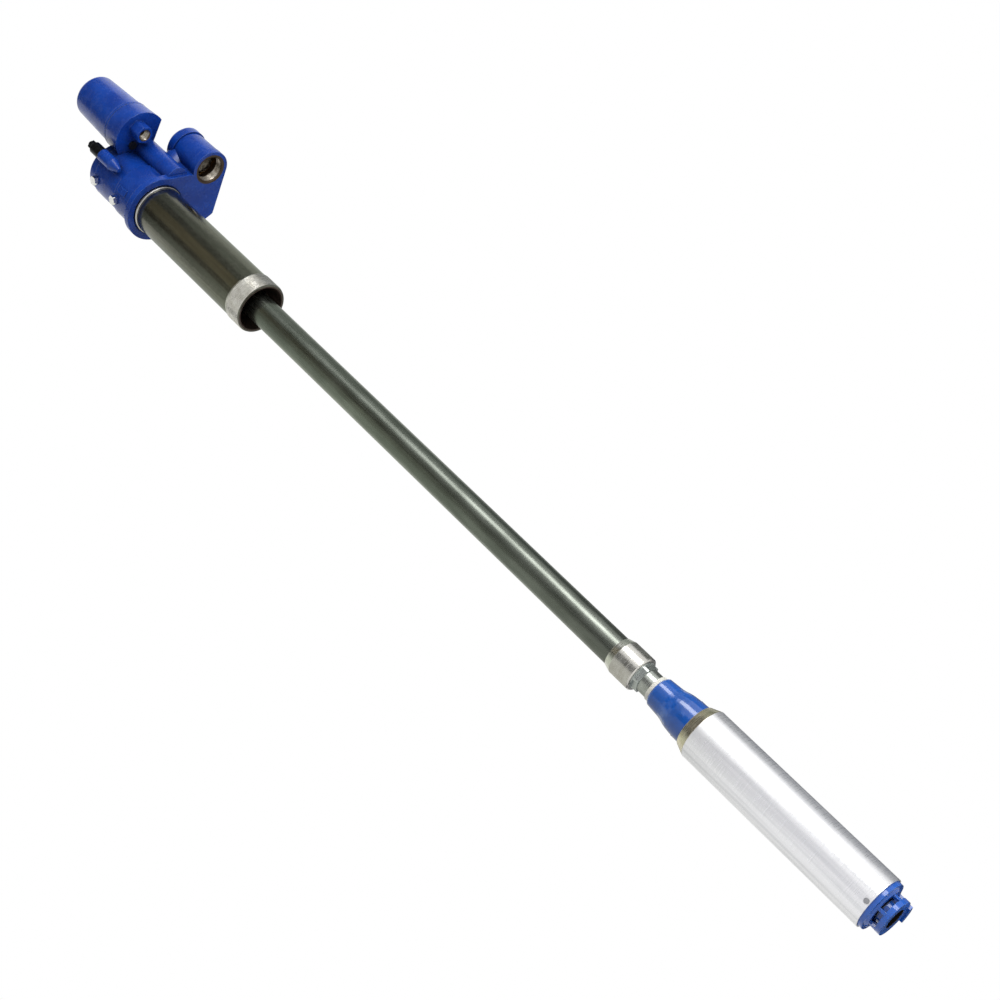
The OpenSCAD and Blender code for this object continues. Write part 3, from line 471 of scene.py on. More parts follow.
@dataclass(frozen=True)
class ZincedPipe:
    """Hot-dip galvanised steel pipe that has dulled to a warm grey, with an oiled bore painted dark
    brown that is partly painted shade.
    """

    name: str = "galvanised_pipe"
    colour: str = "#85847a"
    dark_colour: str = "#78766b"
    crystal_colour: str = "#98978c"
    crystal_strength: float = 0.1
    bore: Bore = Bore(0, 0, 54, -10, 430)
    # Dark brown of the bore: oil and mill scale, and painted shade for the inside of the pipe.
    bore_scale_and_shade_colour: str = "#4d3f38"
    bore_roughness: float = 0.6
    bore_scale: float = 0.5
    spangle_mm: float = 5.0
    drain_mm: float = 3.5
    drain_span: tuple[float, float] = (0.32, 0.66)
    grain_mm: float = 2.2
    grain_depth_mm: float = 0.025
    edge_mm: float = 0.8
    roughness: float = 0.2
    swing: tuple[float, float] = (0.02, 0.04)

    def material(self) -> bpy.types.Material:
        """Build the zinc coat: small crystals, long draining marks and a low sheen.

        Returns:
            The finished material.
        """
        r = Recipe(self.name)
        cells = {"Vector": r.place, "Scale": 1 / self.spangle_mm, "Randomness": 1.0}
        crystals = add_node(r.tree, "ShaderNodeTexVoronoi", inputs=cells).outputs["Color"]
        crystal = add_node(r.tree, "ShaderNodeSeparateColor", inputs={0: crystals}).outputs[0]
        drained = r.noise(self.drain_mm, detail=4.0, place=r.stretched(along=0.03, across=1.0))
        tone = r.mottle(drained, self.drain_span, self.colour, self.dark_colour)
        lighter = r.spread(crystal, 0.0, 1.0, 0.0, self.crystal_strength)
        tone = r.blend(lighter, tone, self.crystal_colour)
        smooth, rough = self.roughness - self.swing[0], self.roughness + self.swing[1]
        shine = r.spread(crystal, 0.0, 1.0, smooth, rough)
        # Cutting oil and mill scale leave the bore brown and matt; its dark brown is also painted shade
        # for the inside of the pipe.
        within = r.inside(self.bore)
        tone = r.blend(within, tone, self.bore_scale_and_shade_colour)
        shine = r.math("MAXIMUM", shine, r.math("MULTIPLY", within, self.bore_roughness))
        metal = r.math("SUBTRACT", 1.0, r.math("MULTIPLY", within, self.bore_scale))
        grain = r.noise(self.grain_mm, detail=2.0)
        normal = r.bump(grain, self.grain_depth_mm, r.rounded(self.edge_mm))
        return r.finish(Base_Color=tone, Metallic=metal, Roughness=shine, Normal=normal)


@dataclass(frozen=True)
class OiledPipe:
    """Drawn steel pipe left dark and oiled, with lengthwise drawing marks."""

    name: str = "oiled_drawn_steel"
    colour: str = "#7f837c"
    dark_colour: str = "#6f736c"
    patch_mm: float = 30.0
    patch_span: tuple[float, float] = (0.35, 0.65)
    # Drawing marks are a few tenths of a millimetre wide, and are drawn coarser so that they show.
    mark_mm: float = 1.1
    mark_depth_mm: float = 0.02
    edge_mm: float = 0.6
    roughness: float = 0.27
    swing: tuple[float, float] = (0.05, 0.1)

    def material(self) -> bpy.types.Material:
        """Build the pipe steel: dark scale with fine lengthwise lines under an oil film.

        Returns:
            The finished material.
        """
        r = Recipe(self.name)
        lines = r.noise(self.mark_mm, place=r.stretched(along=0.02, across=1.0))
        patches = r.noise(self.patch_mm, place=r.stretched(along=0.4, across=1.0))
        return r.finish(
            Base_Color=r.mottle(patches, self.patch_span, self.colour, self.dark_colour),
            Metallic=1.0,
            Roughness=r.shine(lines, self.roughness, self.swing),
            Normal=r.bump(lines, self.mark_depth_mm, r.rounded(self.edge_mm)),
        )


@dataclass(frozen=True)
class TurnedMetal:
    """Bar metal turned on a lathe, or ground, and wiped clean."""

    name: str
    colour: str
    dull_colour: str
    roughness: float = 0.22
    # The real feed is about 0.2 mm, drawn coarser so that the rings show at all.
    feed_mm: float = 0.9
    direction: Axis = Axis.AROUND
    edge_mm: float = 0.5
    feed_depth_mm: float = 0.03
    patch_mm: float = 14.0
    patch_span: tuple[float, float] = (0.35, 0.7)
    swing: tuple[float, float] = (0.04, 0.1)

    def material(self) -> bpy.types.Material:
        """Build the metal: the tool's feed leaves fine rings, or lines, that catch the light.

        Returns:
            The finished material.
        """
        r = Recipe(self.name)
        if self.direction is Axis.AROUND:
            stretch = r.stretched(along=1.0, across=0.04)
        else:
            stretch = r.stretched(along=0.03, across=1.0)
        marks = r.noise(self.feed_mm, detail=2.0, place=stretch)
        return r.finish(
            Base_Color=r.mottle(r.noise(self.patch_mm), self.patch_span, self.colour, self.dull_colour),
            Metallic=1.0,
            Roughness=r.shine(marks, self.roughness, self.swing),
            Normal=r.bump(marks, self.feed_depth_mm, r.rounded(self.edge_mm)),
        )


@dataclass(frozen=True)
class BrushedStainless:
    """Stainless tube finished with an abrasive belt around its girth."""

    name: str = "belt_brushed_stainless"
    colour: str = "#f1f1f3"
    dull_colour: str = "#dcdde0"
    handling_mm: float = 9.0
    handling_span: tuple[float, float] = (0.42, 0.72)
    # A belt's hairlines are about 0.1 mm wide, and are drawn coarser so that they show.
    stroke_mm: float = 0.7
    stroke_depth_mm: float = 0.015
    edge_mm: float = 0.6
    roughness: float = 0.3
    swing: tuple[float, float] = (0.06, 0.1)
    metallic: float = 0.92
    anisotropy: float = 0.35

    def material(self) -> bpy.types.Material:
        """Build the shell: bright satin with hairlines around it and faint handling marks along it.

        Returns:
            The finished material.
        """
        r = Recipe(self.name)
        hairlines = r.noise(self.stroke_mm, place=r.stretched(along=1.0, across=0.02))
        handling = r.noise(self.handling_mm, detail=2.0, place=r.stretched(along=0.03, across=1.0))
        return r.finish(
            Base_Color=r.mottle(handling, self.handling_span, self.colour, self.dull_colour),
            Metallic=self.metallic,
            Roughness=r.shine(hairlines, self.roughness, self.swing),
            Normal=r.bump(hairlines, self.stroke_depth_mm, r.rounded(self.edge_mm)),
            Anisotropic=self.anisotropy,
        )


@dataclass(frozen=True)
class BlackOxideSteel:
    """Steel fasteners blackened in a hot salt bath and oiled."""

    name: str = "black_oxide_steel"
    colour: str = "#121315"
    patch_colour: str = "#1d1e21"
    worn_colour: str = "#4b4c50"
    wear: float = 0.7
    edge_mm: float = 0.8
    patch_mm: float = 6.0
    patch_span: tuple[float, float] = (0.4, 0.7)
    grain_mm: float = 1.1
    grain_depth_mm: float = 0.03
    shine_mm: float = 2.5
    roughness: float = 0.34
    swing: tuple[float, float] = (0.06, 0.12)
    metallic: float = 0.75

    def material(self) -> bpy.types.Material:
        """Build the black oxide: near black, worn to grey where a spanner has touched it.

        Returns:
            The finished material.
        """
        r = Recipe(self.name)
        soft = r.rounded(self.edge_mm)
        black = r.mottle(r.noise(self.patch_mm), self.patch_span, self.colour, self.patch_colour)
        return r.finish(
            Base_Color=r.blend(r.worn_edges(soft, self.wear), black, self.worn_colour),
            Metallic=self.metallic,
            Roughness=r.shine(r.noise(self.shine_mm), self.roughness, self.swing),
            Normal=r.bump(r.noise(self.grain_mm), self.grain_depth_mm, soft),
        )


@dataclass(frozen=True)
class SandCastMetal:
    """Bare sand-cast iron, shot blasted."""

    name: str = "shot_blasted_cast_iron"
    colour: str = "#7f8081"
    dark_colour: str = "#5c5d5f"
    # Foundry sand is finer than half a millimetre, and is drawn coarser so that its grain shows.
    grain_mm: float = 1.0
    grain_depth_mm: float = 0.12
    grain_span: tuple[float, float] = (0.35, 0.65)
    edge_mm: float = 1.0
    roughness: float = 0.58
    metallic: float = 0.8

    def material(self) -> bpy.types.Material:
        """Build the casting: a matt, pitted grey skin.

        Returns:
            The finished material.
        """
        r = Recipe(self.name)
        grain = r.noise(self.grain_mm)
        return r.finish(
            Base_Color=r.mottle(grain, self.grain_span, self.colour, self.dark_colour),
            Metallic=self.metallic,
            Roughness=self.roughness,
            Normal=r.bump(grain, self.grain_depth_mm, r.rounded(self.edge_mm)),
        )


@dataclass(frozen=True)
class StackedLaminations:
    """Electrical sheet steel, stacked and varnished."""

    name: str = "stacked_electrical_steel"
    colour: str = "#8a8c90"
    gap_colour: str = "#54565b"
    # The real sheets are 0.5 mm thick, and are drawn coarser so that they show.
    sheet_mm: float = 1.6
    sheet_depth_mm: float = 0.08
    waviness: float = 0.4
    roughness: float = 0.4
    metallic: float = 0.9

    def material(self) -> bpy.types.Material:
        """Build the stack: the sheet edges show as fine rings.

        Returns:
            The finished material.
        """
        r = Recipe(self.name)
        rings = add_node(
            r.tree,
            "ShaderNodeTexWave",
            {"bands_direction": "Z"},
            {"Vector": r.place, "Scale": WAVE_PERIOD / self.sheet_mm, "Distortion": self.waviness},
        ).outputs["Fac"]
        return r.finish(
            Base_Color=r.blend(rings, self.gap_colour, self.colour),
            Metallic=self.metallic,
            Roughness=self.roughness,
            Normal=r.bump(rings, self.sheet_depth_mm),
        )


@dataclass(frozen=True)
class VarnishedCopper:
    """Enamelled copper wire wound in bundles and dipped in varnish."""

    name: str = "varnished_copper_wire"
    colour: str = "#b4622a"
    dark_colour: str = "#6d3414"
    # The real wire is about 1 mm thick, and is drawn a little coarser so that it shows.
    wire_mm: float = 1.5
    wire_depth_mm: float = 0.3
    waviness: float = 1.5
    roughness: float = 0.3
    metallic: float = 0.7
    varnish: float = 0.6

    def material(self) -> bpy.types.Material:
        """Build the winding: wires side by side under a glossy coat.

        Returns:
            The finished material.
        """
        r = Recipe(self.name)
        wires = add_node(
            r.tree,
            "ShaderNodeTexWave",
            {"wave_type": "RINGS", "rings_direction": "Z"},
            {
                "Vector": r.place,
                "Scale": WAVE_PERIOD / self.wire_mm,
                "Distortion": self.waviness,
                "Detail": 1.0,
            },
        ).outputs["Fac"]
        return r.finish(
            Base_Color=r.blend(wires, self.dark_colour, self.colour),
            Metallic=self.metallic,
            Roughness=self.roughness,
            Normal=r.bump(wires, self.wire_depth_mm),
            Coat_Weight=self.varnish,
        )


@dataclass(frozen=True)
class MouldedPolymer:
    """Injection-moulded plastic or rubber with a spark-eroded mould grain."""

    name: str
    colour: str
    shade_colour: str
    roughness: float
    # The mould's grain is about 0.1 mm, and is drawn coarser so that it shows.
    grain_mm: float = 0.8
    grain_depth_mm: float = 0.04
    edge_mm: float = 0.5
    patch_mm: float = 12.0
    patch_span: tuple[float, float] = (0.35, 0.7)
    swing: tuple[float, float] = (0.04, 0.06)
    index: float = 1.5

    def material(self) -> bpy.types.Material:
        """Build the polymer: an even tone with a fine moulded grain.

        Returns:
            The finished material.
        """
        r = Recipe(self.name)
        grain = r.noise(self.grain_mm, detail=2.0)
        return r.finish(
            Base_Color=r.mottle(r.noise(self.patch_mm), self.patch_span, self.colour, self.shade_colour),
            Metallic=0.0,
            Roughness=r.shine(grain, self.roughness, self.swing),
            IOR=self.index,
            Normal=r.bump(grain, self.grain_depth_mm, r.rounded(self.edge_mm)),
        )


HEAD_ENAMEL = EnamelOnCastIron(
    "blue_enamel_on_cast_iron",
    "#1143a4",
    "#0d3893",
    "#3569c8",
    # Discharge port, conduit hub and riser thread
    (Bore(143, 33, 36, 390, 470), Bore(98, -71, 14.2, 495, 530), Bore(0, 0, 57.3, 390, 420)),
)
PUMP_ENAMEL = EnamelOnCastIron(
    "light_enamel_on_cast_iron",
    "#1961c8",
    "#1557b8",
    "#4f88dc",
    # Suction eye and its throat
    (Bore(0, 0, 20.3, -1760, -1733),),
    # The eye and its throat are near black: bare iron with painted shade for the inside of the hole.
    bare_and_shade_colour="#2c2826",
    grain_mm=2.4,
    grain_depth_mm=0.03,
    ripple_mm=11.0,
    ripple_depth_mm=0.1,
    roughness=0.14,
    clear_coat=0.3,
    # Weaker painted shade in the corners than on the head.
    corner_shade=0.25,
)
# The cone has no sharp edge but its ends, and the wider rounding evens out its long curves. Its blue is
# darker than the bell's: painted shade for the cone, which gets less light than the bell.
CONE_ENAMEL = replace(
    PUMP_ENAMEL,
    name="light_enamel_on_cone",
    colour="#1859b6",
    thick_colour="#1450a6",
    edge_mm=6.0,
    clear_coat=0.9,
)
BRIGHT_STEEL = TurnedMetal("turned_carbon_steel", "#c6c5c2", "#a9a7a1", 0.2)
PLATED_STEEL = TurnedMetal("zinc_plated_plug_steel", "#ececea", "#dddcd8", 0.16, edge_mm=0.7)
SCREW_STEEL = TurnedMetal("stainless_screw_steel", "#b4b5b8", "#9fa0a3", 0.3)
STRAINER_STEEL = TurnedMetal("perforated_stainless_sheet", "#76777a", "#646568", 0.34)
THREAD_STEEL = TurnedMetal("cut_thread_steel", "#dedcd6", "#c6c3ba", 0.24, 0.5)
PORT_STEEL = TurnedMetal("tapped_cast_iron", "#cfc8bd", "#8f8476", 0.26, 0.5)
COLLAR_STEEL = TurnedMetal("turned_collar_steel", "#dcdad5", "#cecbc5", 0.2, 1.2, edge_mm=0.9)
RING_STEEL = TurnedMetal("turned_end_ring_steel", "#d9d0bc", "#bfb59c", 0.22, 1.0, edge_mm=0.9)
NUT_STEEL = TurnedMetal("milled_nut_steel", "#cdd2cf", "#b4bbb9", 0.25, 1.2, edge_mm=0.8)
INNER_STEEL = TurnedMetal("ground_pipe_steel", "#bcc0ba", "#a2a6a0", 0.22, 0.8)
GUN_BRASS = TurnedMetal("turned_brass", "#b8924c", "#98753a", 0.24, 0.8)
DRAWN_CAN = TurnedMetal("drawn_aluminium", "#cdd0d2", "#b3b6b9", 0.3, 1.0, Axis.ALONG)
NITRILE = MouldedPolymer("nitrile_rubber", "#1b1b1c", "#252526", 0.55, 0.6)
PHENOLIC = MouldedPolymer("black_phenolic", "#141417", "#1d1d21", 0.32)
SEAL_POLYMER = MouldedPolymer("ivory_seal_polymer", "#e6e5dc", "#d3d1c4", 0.42)
ACETAL = MouldedPolymer("natural_acetal", "#d8c68b", "#c6b274", 0.38)


@dataclass
class Wardrobe:
    """Keeps one material for each finish."""

    made: dict[str, bpy.types.Material] = field(default_factory=dict)

    def of(self, finish: Finish) -> bpy.types.Material:
        """Give a finish's material, built on first use.

        Args:
            finish: the finish.

        Returns:
            Its one material.
        """
        if finish.name not in self.made:
            self.made[finish.name] = finish.material()
        return self.made[finish.name]

    def dress(self, piece: bpy.types.Object, finish: Finish) -> None:
        """Put one finish on a whole piece."""
        piece.data.materials.clear()
        piece.data.materials.append(self.of(finish))

    def dress_nodes(self, frame: dict, outfit: tuple[tuple[Finish, str], ...]) -> None:
        """Put finishes on the frame's own nodes.

        Args:
            frame: the loaded frame.
            outfit: each finish with the names of its nodes, which have spaces between them.
        """
        for finish, names in outfit:
            for name in names.split():
                for slot in frame["nodes"][name].material_slots:
                    slot.material = self.of(finish)
                LOG.info("%s: %s", name, finish.name)


def place_mesh(
    name: str, points: list[tuple], faces: list[tuple], body: Body, smooth: bool = True
) -> bpy.types.Object:
    """Make a mesh object from points in the part's frame.

    Args:
        name: piece name.
        points: vertices in metres.
        faces: vertex numbers of each face.
        body: body that the piece rides on.
        smooth: whether the faces are shaded as one curved surface.

    Returns:
        The new object, riding on its body.
    """
    mesh = bpy.data.meshes.new(name)
    mesh.from_pydata(points, [], faces)
    mesh.validate()
    for face in mesh.polygons:
        face.use_smooth = smooth
    piece = bpy.data.objects.new(name, mesh)
    bpy.context.scene.collection.objects.link(piece)
    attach(piece, body.value)
    return piece


@dataclass(frozen=True)
class HelicalThread:
    """One cut thread: a helical ridge that stands on a plain cylinder, or in a plain bore."""

    name: str
    slot: str
    centre: tuple[float, float]
    low: float
    high: float
    radius: float
    pitch: float
    inside: bool = False
    steps: int = 72

    def build(self, wardrobe: Wardrobe, finish: Finish) -> bpy.types.Object:
        """Build the ridge as one strip wound up the axis, with its ends run out to the cylinder.

        Args:
            wardrobe: materials.
            finish: finish of the thread.

        Returns:
            The thread's object.
        """
        way = -1 if self.inside else 1
        depth = self.pitch * THREAD_DEPTH * way
        foot = self.radius + THREAD_LIFT * way
        turns = (self.high - self.low) / self.pitch - 1
        count = int(turns * self.steps)
        half_turn = self.steps / 2
        points, faces = [], []
        for i in range(count + 1):
            angle = 2 * math.pi * i / self.steps
            # The crest grows over the first and last half turn, as a die leaves it.
            grown = min(1.0, i / half_turn, (count - i) / half_turn)
            for share, rise in THREAD_FORM:
                r = foot + depth * rise * grown
                x = self.centre[0] + r * math.cos(angle)
                y = self.centre[1] + r * math.sin(angle)
                points.append((x, y, self.low + self.pitch * (i / self.steps + share)))
        row = len(THREAD_FORM)
        for i in range(count):
            a, b = i * row, (i + 1) * row
            strip = [(a + j, b + j, b + j + 1, a + j + 1) for j in range(row - 1)]
            # Faces look away from the metal: outwards on a pipe, and towards the axis in a bore.
            faces += [face[::-1] for face in strip] if self.inside else strip
        piece = place_mesh(self.name, points, faces, Body.HEAD, smooth=False)
        wardrobe.dress(piece, finish)
        LOG.info("%s: %.1f turns of %.2f mm pitch", self.name, turns, self.pitch / MM)
        return piece


@dataclass(frozen=True)
class ManifoldHead:
    """Manifold casting, packer head, check valve, junction box and lock-down studs."""

    boss: tuple[float, float] = (0.143, 0.033)
    port_span: tuple[float, float] = (0.3965, 0.4155)
    port_radius: float = 0.0292
    port_pitch: float = 0.002209
    hub: tuple[float, float] = (0.098, -0.071)
    hub_span: tuple[float, float] = (0.5037, 0.5237)
    hub_radius: float = 0.0126
    hub_pitch: float = 0.001814
    stud_reach: float = 0.078
    stud_turn_deg: float = -87
    stud_radius: float = 0.006
    stud_pitch: float = 0.00125
    stud_steps: int = 48
    stud_span: tuple[float, float] = (0.5917, 0.5963)
    spring_radius: float = 0.0105
    spring_span: tuple[float, float] = (0.4422, 0.4658)
    spring_turns: float = 6.0
    spring_flat_turns: float = 0.75
    spring_steps: int = 28
    wire_radius: float = 0.0009
    wire_sides: int = 10
    valve_lift: float = 0.008

    def dress(self, frame: dict, wardrobe: Wardrobe) -> None:
        """Put the head's finishes on its frame nodes.

        Args:
            frame: the loaded frame.
            wardrobe: materials.
        """
        outfit = (
            (HEAD_ENAMEL, "manifold_body packer_head valve_cap junction_box capacitor_cover"),
            (PLATED_STEEL, "port_plugs leak_port_plug"),
            (BRIGHT_STEEL, "valve_poppet valve_spring lifting_eye box_screws"),
            (BlackOxideSteel(), "lockdown_studs lockdown_sleeves lockdown_washers lockdown_nuts"),
            (GUN_BRASS, "relief_valve_cap valve_seat"),
            (NITRILE, "packer_seals poppet_seal valve_cap_seal cover_seal"),
            (PHENOLIC, "blanking_plug feed_connector terminal_block capacitor_clamp"),
            (DRAWN_CAN, "capacitor"),
        )
        wardrobe.dress_nodes(frame, outfit)

    def port_threads(self, wardrobe: Wardrobe) -> None:
        """Cut the pipe threads of the discharge port and of the conduit hub.

        Args:
            wardrobe: materials.
        """
        ports = (
            ("discharge_port_thread", self.boss, self.port_span, self.port_radius, self.port_pitch),
            ("conduit_port_thread", self.hub, self.hub_span, self.hub_radius, self.hub_pitch),
        )
        for name, centre, (low, high), radius, pitch in ports:
            thread = HelicalThread(name, "machined_steel", centre, low, high, radius, pitch, inside=True)
            thread.build(wardrobe, PORT_STEEL)

    def stud_threads(self, wardrobe: Wardrobe) -> None:
        """Cut the thread that each lock-down stud shows above its nut.

        Args:
            wardrobe: materials.
        """
        low, high = self.stud_span
        for side, name in ((0, "front"), (180, "back")):
            turn = math.radians(self.stud_turn_deg + side)
            thread = HelicalThread(
                f"stud_thread_{name}",
                "black_fitting",
                (self.stud_reach * math.cos(turn), self.stud_reach * math.sin(turn)),
                low,
                high,
                self.stud_radius,
                self.stud_pitch,
                steps=self.stud_steps,
            )
            thread.build(wardrobe, BlackOxideSteel())

    def valve_spring(self, wardrobe: Wardrobe) -> None:
        """Wind the check valve's spring at one fixed length; the real spring shortens by the valve's
        lift as the poppet opens.

        Args:
            wardrobe: materials.
        """
        low, high = self.spring_span
        length = high - low
        sides = self.wire_sides
        count = round(self.spring_turns * self.spring_steps)
        free_turns = self.spring_turns - 2 * self.spring_flat_turns
        points, faces = [], []
        for i in range(count + 1):
            turn = i / self.spring_steps
            # The first and last turns lie flat, and the free turns between them share the length.
            free = min(max(turn - self.spring_flat_turns, 0.0) / free_turns, 1.0)
            z = low + self.wire_radius + (length - 2 * self.wire_radius) * free
            angle = 2 * math.pi * turn
            for j in range(sides):
                around = 2 * math.pi * j / sides
                r = self.spring_radius + self.wire_radius * math.cos(around)
                x = self.boss[0] + r * math.cos(angle)
                y = self.boss[1] + r * math.sin(angle)
                points.append((x, y, z + self.wire_radius * math.sin(around)))
        for i in range(count):
            a, b = i * sides, (i + 1) * sides
            for j in range(sides):
                k = (j + 1) % sides
                faces.append((a + j, b + j, b + k, a + k))
        faces.append(tuple(range(sides)))
        faces.append(tuple(count * sides + j for j in range(sides - 1, -1, -1)))
        spring = place_mesh("check_valve_spring", points, faces, Body.HEAD)
        wardrobe.dress(spring, BRIGHT_STEEL)
        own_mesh(spring)
        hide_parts("valve_spring")
        LOG.info("check_valve_spring: %.1f turns", self.spring_turns)

    def build(self, frame: dict, wardrobe: Wardrobe) -> None:
        """Dress the head and add its fine pieces.

        Args:
            frame: the loaded frame.
            wardrobe: materials.
        """
        self.dress(frame, wardrobe)
        self.port_threads(wardrobe)
        self.stud_threads(wardrobe)
        self.valve_spring(wardrobe)


@dataclass(frozen=True)
class RiserPipe:
    """Galvanised riser with a pipe thread on each end, drawn without its slight taper."""

    thread_radius: float = 0.05715
    thread_pitch: float = 0.003175
    low_thread: tuple[float, float] = (0.0, 0.047)
    top_thread: tuple[float, float] = (0.3862, 0.3955)

    def build(self, frame: dict, wardrobe: Wardrobe) -> None:
        """Dress the pipe and cut its two threads.

        Args:
            frame: the loaded frame.
            wardrobe: materials.
        """
        wardrobe.dress_nodes(frame, ((ZincedPipe(), "riser_pipe"),))
        radius, pitch = self.thread_radius, self.thread_pitch
        for name, span in (("riser_low_thread", self.low_thread), ("riser_top_thread", self.top_thread)):
            thread = HelicalThread(name, "galvanised_steel", (0, 0), *span, radius, pitch)
            thread.build(wardrobe, THREAD_STEEL)


@dataclass(frozen=True)
class TelescopeColumn:
    """Outer and inner column pipes, the gland collar with its lock nut, and the wiring conduit."""

    def build(self, frame: dict, wardrobe: Wardrobe) -> None:
        """Dress the column: dark oiled pipe outside, ground pipe inside, bright collar.

        Args:
            frame: the loaded frame.
            wardrobe: materials.
        """
        outfit = (
            (OiledPipe(), "outer_column_pipe"),
            (INNER_STEEL, "inner_column_pipe"),
            (COLLAR_STEEL, "column_collar"),
            (NUT_STEEL, "lock_nut"),
            (GUN_BRASS, "gland_follower"),
            (NITRILE, "gland_seals"),
            (SEAL_POLYMER, "pipe_guide_ring"),
            (BRIGHT_STEEL, "upper_conduit lower_conduit"),
        )
        wardrobe.dress_nodes(frame, outfit)


@dataclass(frozen=True)
class PumpUnit:
    """Discharge head, bright shell, motor, pump stages and inlet bell."""

    def build(self, frame: dict, wardrobe: Wardrobe) -> None:
        """Dress the pump unit, inside and out.

        Args:
            frame: the loaded frame.
            wardrobe: materials.
        """
        outfit = (
            (PUMP_ENAMEL, "inlet_bell"),
            (CONE_ENAMEL, "discharge_head"),
            (BrushedStainless(), "pump_shell"),
            (RING_STEEL, "shell_end_ring"),
            (SEAL_POLYMER, "thread_seal_ring"),
            (SCREW_STEEL, "bell_screws"),
            (STRAINER_STEEL, "inlet_strainer"),
            (BRIGHT_STEEL, "motor_can motor_shaft impeller_nut"),
            (SandCastMetal(), "motor_top_bell motor_bottom_bell diffuser_upper diffuser_lower"),
            (GUN_BRASS, "shaft_bushes thrust_disc"),
            (StackedLaminations(), "stator_core rotor_core"),
            (VarnishedCopper(), "stator_windings"),
            (ACETAL, "impeller_upper impeller_lower"),
        )
        wardrobe.dress_nodes(frame, outfit)


@dataclass(frozen=True)
class Card:
    """One card of the reflection set: degrees from the camera's side, positive towards +X."""

    name: str
    start: float
    end: float
    low: float
    high: float
    colour: str
    distance: float = 3.4


@dataclass(frozen=True)
class Lamp:
    """One soft rectangular lamp that faces the pump's axis."""

    name: str
    azimuth: float
    distance: float
    height: float
    size: tuple[float, float]
    power: float
    mirrored: bool = True


# An upright pipe seen from below mirrors the ring of cards at 2.2 times its own height plus 2.7 m, so
# each height zone of the ring shows in one stretch of the pump, and gaps between cards show white.
HEAD_ZONE, RISER_ZONE, UPPER_ZONE, LOWER_ZONE = (3.5, 6.5), (2.6, 3.5), (1.35, 2.6), (0.42, 1.35)
COLLAR_ZONE, SHELL_ZONE, FLOOR_ZONE = (-0.12, 0.42), (-1.75, -0.12), (-2.7, -1.75)
CARDS = (
    Card("head_dark", -80, 25, *HEAD_ZONE, "#1c1d1f"),
    Card("head_right_grey", 25, 84, *HEAD_ZONE, "#54565a"),
    Card("riser_left_pale", -180, -92, *RISER_ZONE, "#bfc5bb"),
    Card("riser_left_grey", -92, -46, *RISER_ZONE, "#969d96"),
    Card("riser_brown_dark", -46, -22, *RISER_ZONE, "#54524a"),
    Card("riser_brown", -22, 20, *RISER_ZONE, "#a09a82"),
    Card("riser_dark", 20, 48, *RISER_ZONE, "#565950"),
    Card("riser_right_grey", 48, 96, *RISER_ZONE, "#8b938b"),
    Card("riser_right_pale", 96, 180, *RISER_ZONE, "#c2c8bf"),
    Card("upper_left_pale", -180, -115, *UPPER_ZONE, "#f2f6ea"),
    Card("upper_left_grey", -115, -55, *UPPER_ZONE, "#e0e8d8"),
    Card("upper_left_shade", -55, -18, *UPPER_ZONE, "#bdc1b0"),
    Card("upper_centre_dark", -18, 22, *UPPER_ZONE, "#55544a"),
    Card("upper_right_grey", 22, 96, *UPPER_ZONE, "#a9b0a8"),
    Card("upper_right_dark", 96, 132, *UPPER_ZONE, "#9aa29a"),
    Card("upper_right_pale", 132, 180, *UPPER_ZONE, "#e4e8e0"),
    Card("lower_left_pale", -180, -125, *LOWER_ZONE, "#f0f3ea"),
    Card("lower_left_grey", -125, -44, *LOWER_ZONE, "#bfc5bb"),
    Card("lower_centre_dark", -44, -2, *LOWER_ZONE, "#848880"),
    Card("lower_centre_grey", -2, 22, *LOWER_ZONE, "#b3b7b2"),
    Card("lower_right_pale", 22, 94, *LOWER_ZONE, "#cfd5d0"),
    Card("lower_right_dark", 94, 136, *LOWER_ZONE, "#626c68"),
    Card("lower_right_grey", 136, 180, *LOWER_ZONE, "#c4c8c2"),
    Card("collar_left_grey", -180, -30, *COLLAR_ZONE, "#babab2"),
    Card("collar_centre_dark", -30, 10, *COLLAR_ZONE, "#22211f"),
    Card("collar_right_grey", 96, 180, *COLLAR_ZONE, "#6a6c69"),
    Card("shell_left_pale", -180, -100, *SHELL_ZONE, "#eeeeec"),
    Card("shell_left_white", -100, -46, *SHELL_ZONE, "#fcfcfc"),
    Card("shell_centre_grey", -46, 6, *SHELL_ZONE, "#f2f1f4"),
    Card("shell_right_grey", 98, 152, *SHELL_ZONE, "#94969a"),
    Card("shell_back_dark", 152, 180, *SHELL_ZONE, "#4a4d55"),
    Card("floor_left_dark", -180, -90, *FLOOR_ZONE, "#33373f"),
    Card("floor_right_dark", 90, 180, *FLOOR_ZONE, "#33373f"),
)
LAMPS = (
    Lamp("strip", 48, 2.6, -0.55, (1.0, 1.9), 33),
    Lamp("strip_middle", 48, 2.6, 0.675, (1.0, 0.55), 6.6),
    Lamp("strip_top", 48, 2.6, 1.225, (1.0, 0.55), 2.0),
    Lamp("key_high", 64, 3.3, 2.9, (1.6, 2.0), 40, mirrored=False),
    Lamp("key_low", 60, 3.3, -0.4, (1.6, 1.8), 14, mirrored=False),
    Lamp("fill", -70, 3.0, -0.2, (1.6, 4.0), 13, mirrored=False),
    Lamp("rim", 140, 3.0, 0.8, (1.0, 3.0), 20, mirrored=False),
    Lamp("can_edge", 124, 3.0, 4.1, (1.2, 1.2), 1),
    Lamp("low", 40, 2.0, -1.9, (0.8, 0.8), 7, mirrored=False),
)


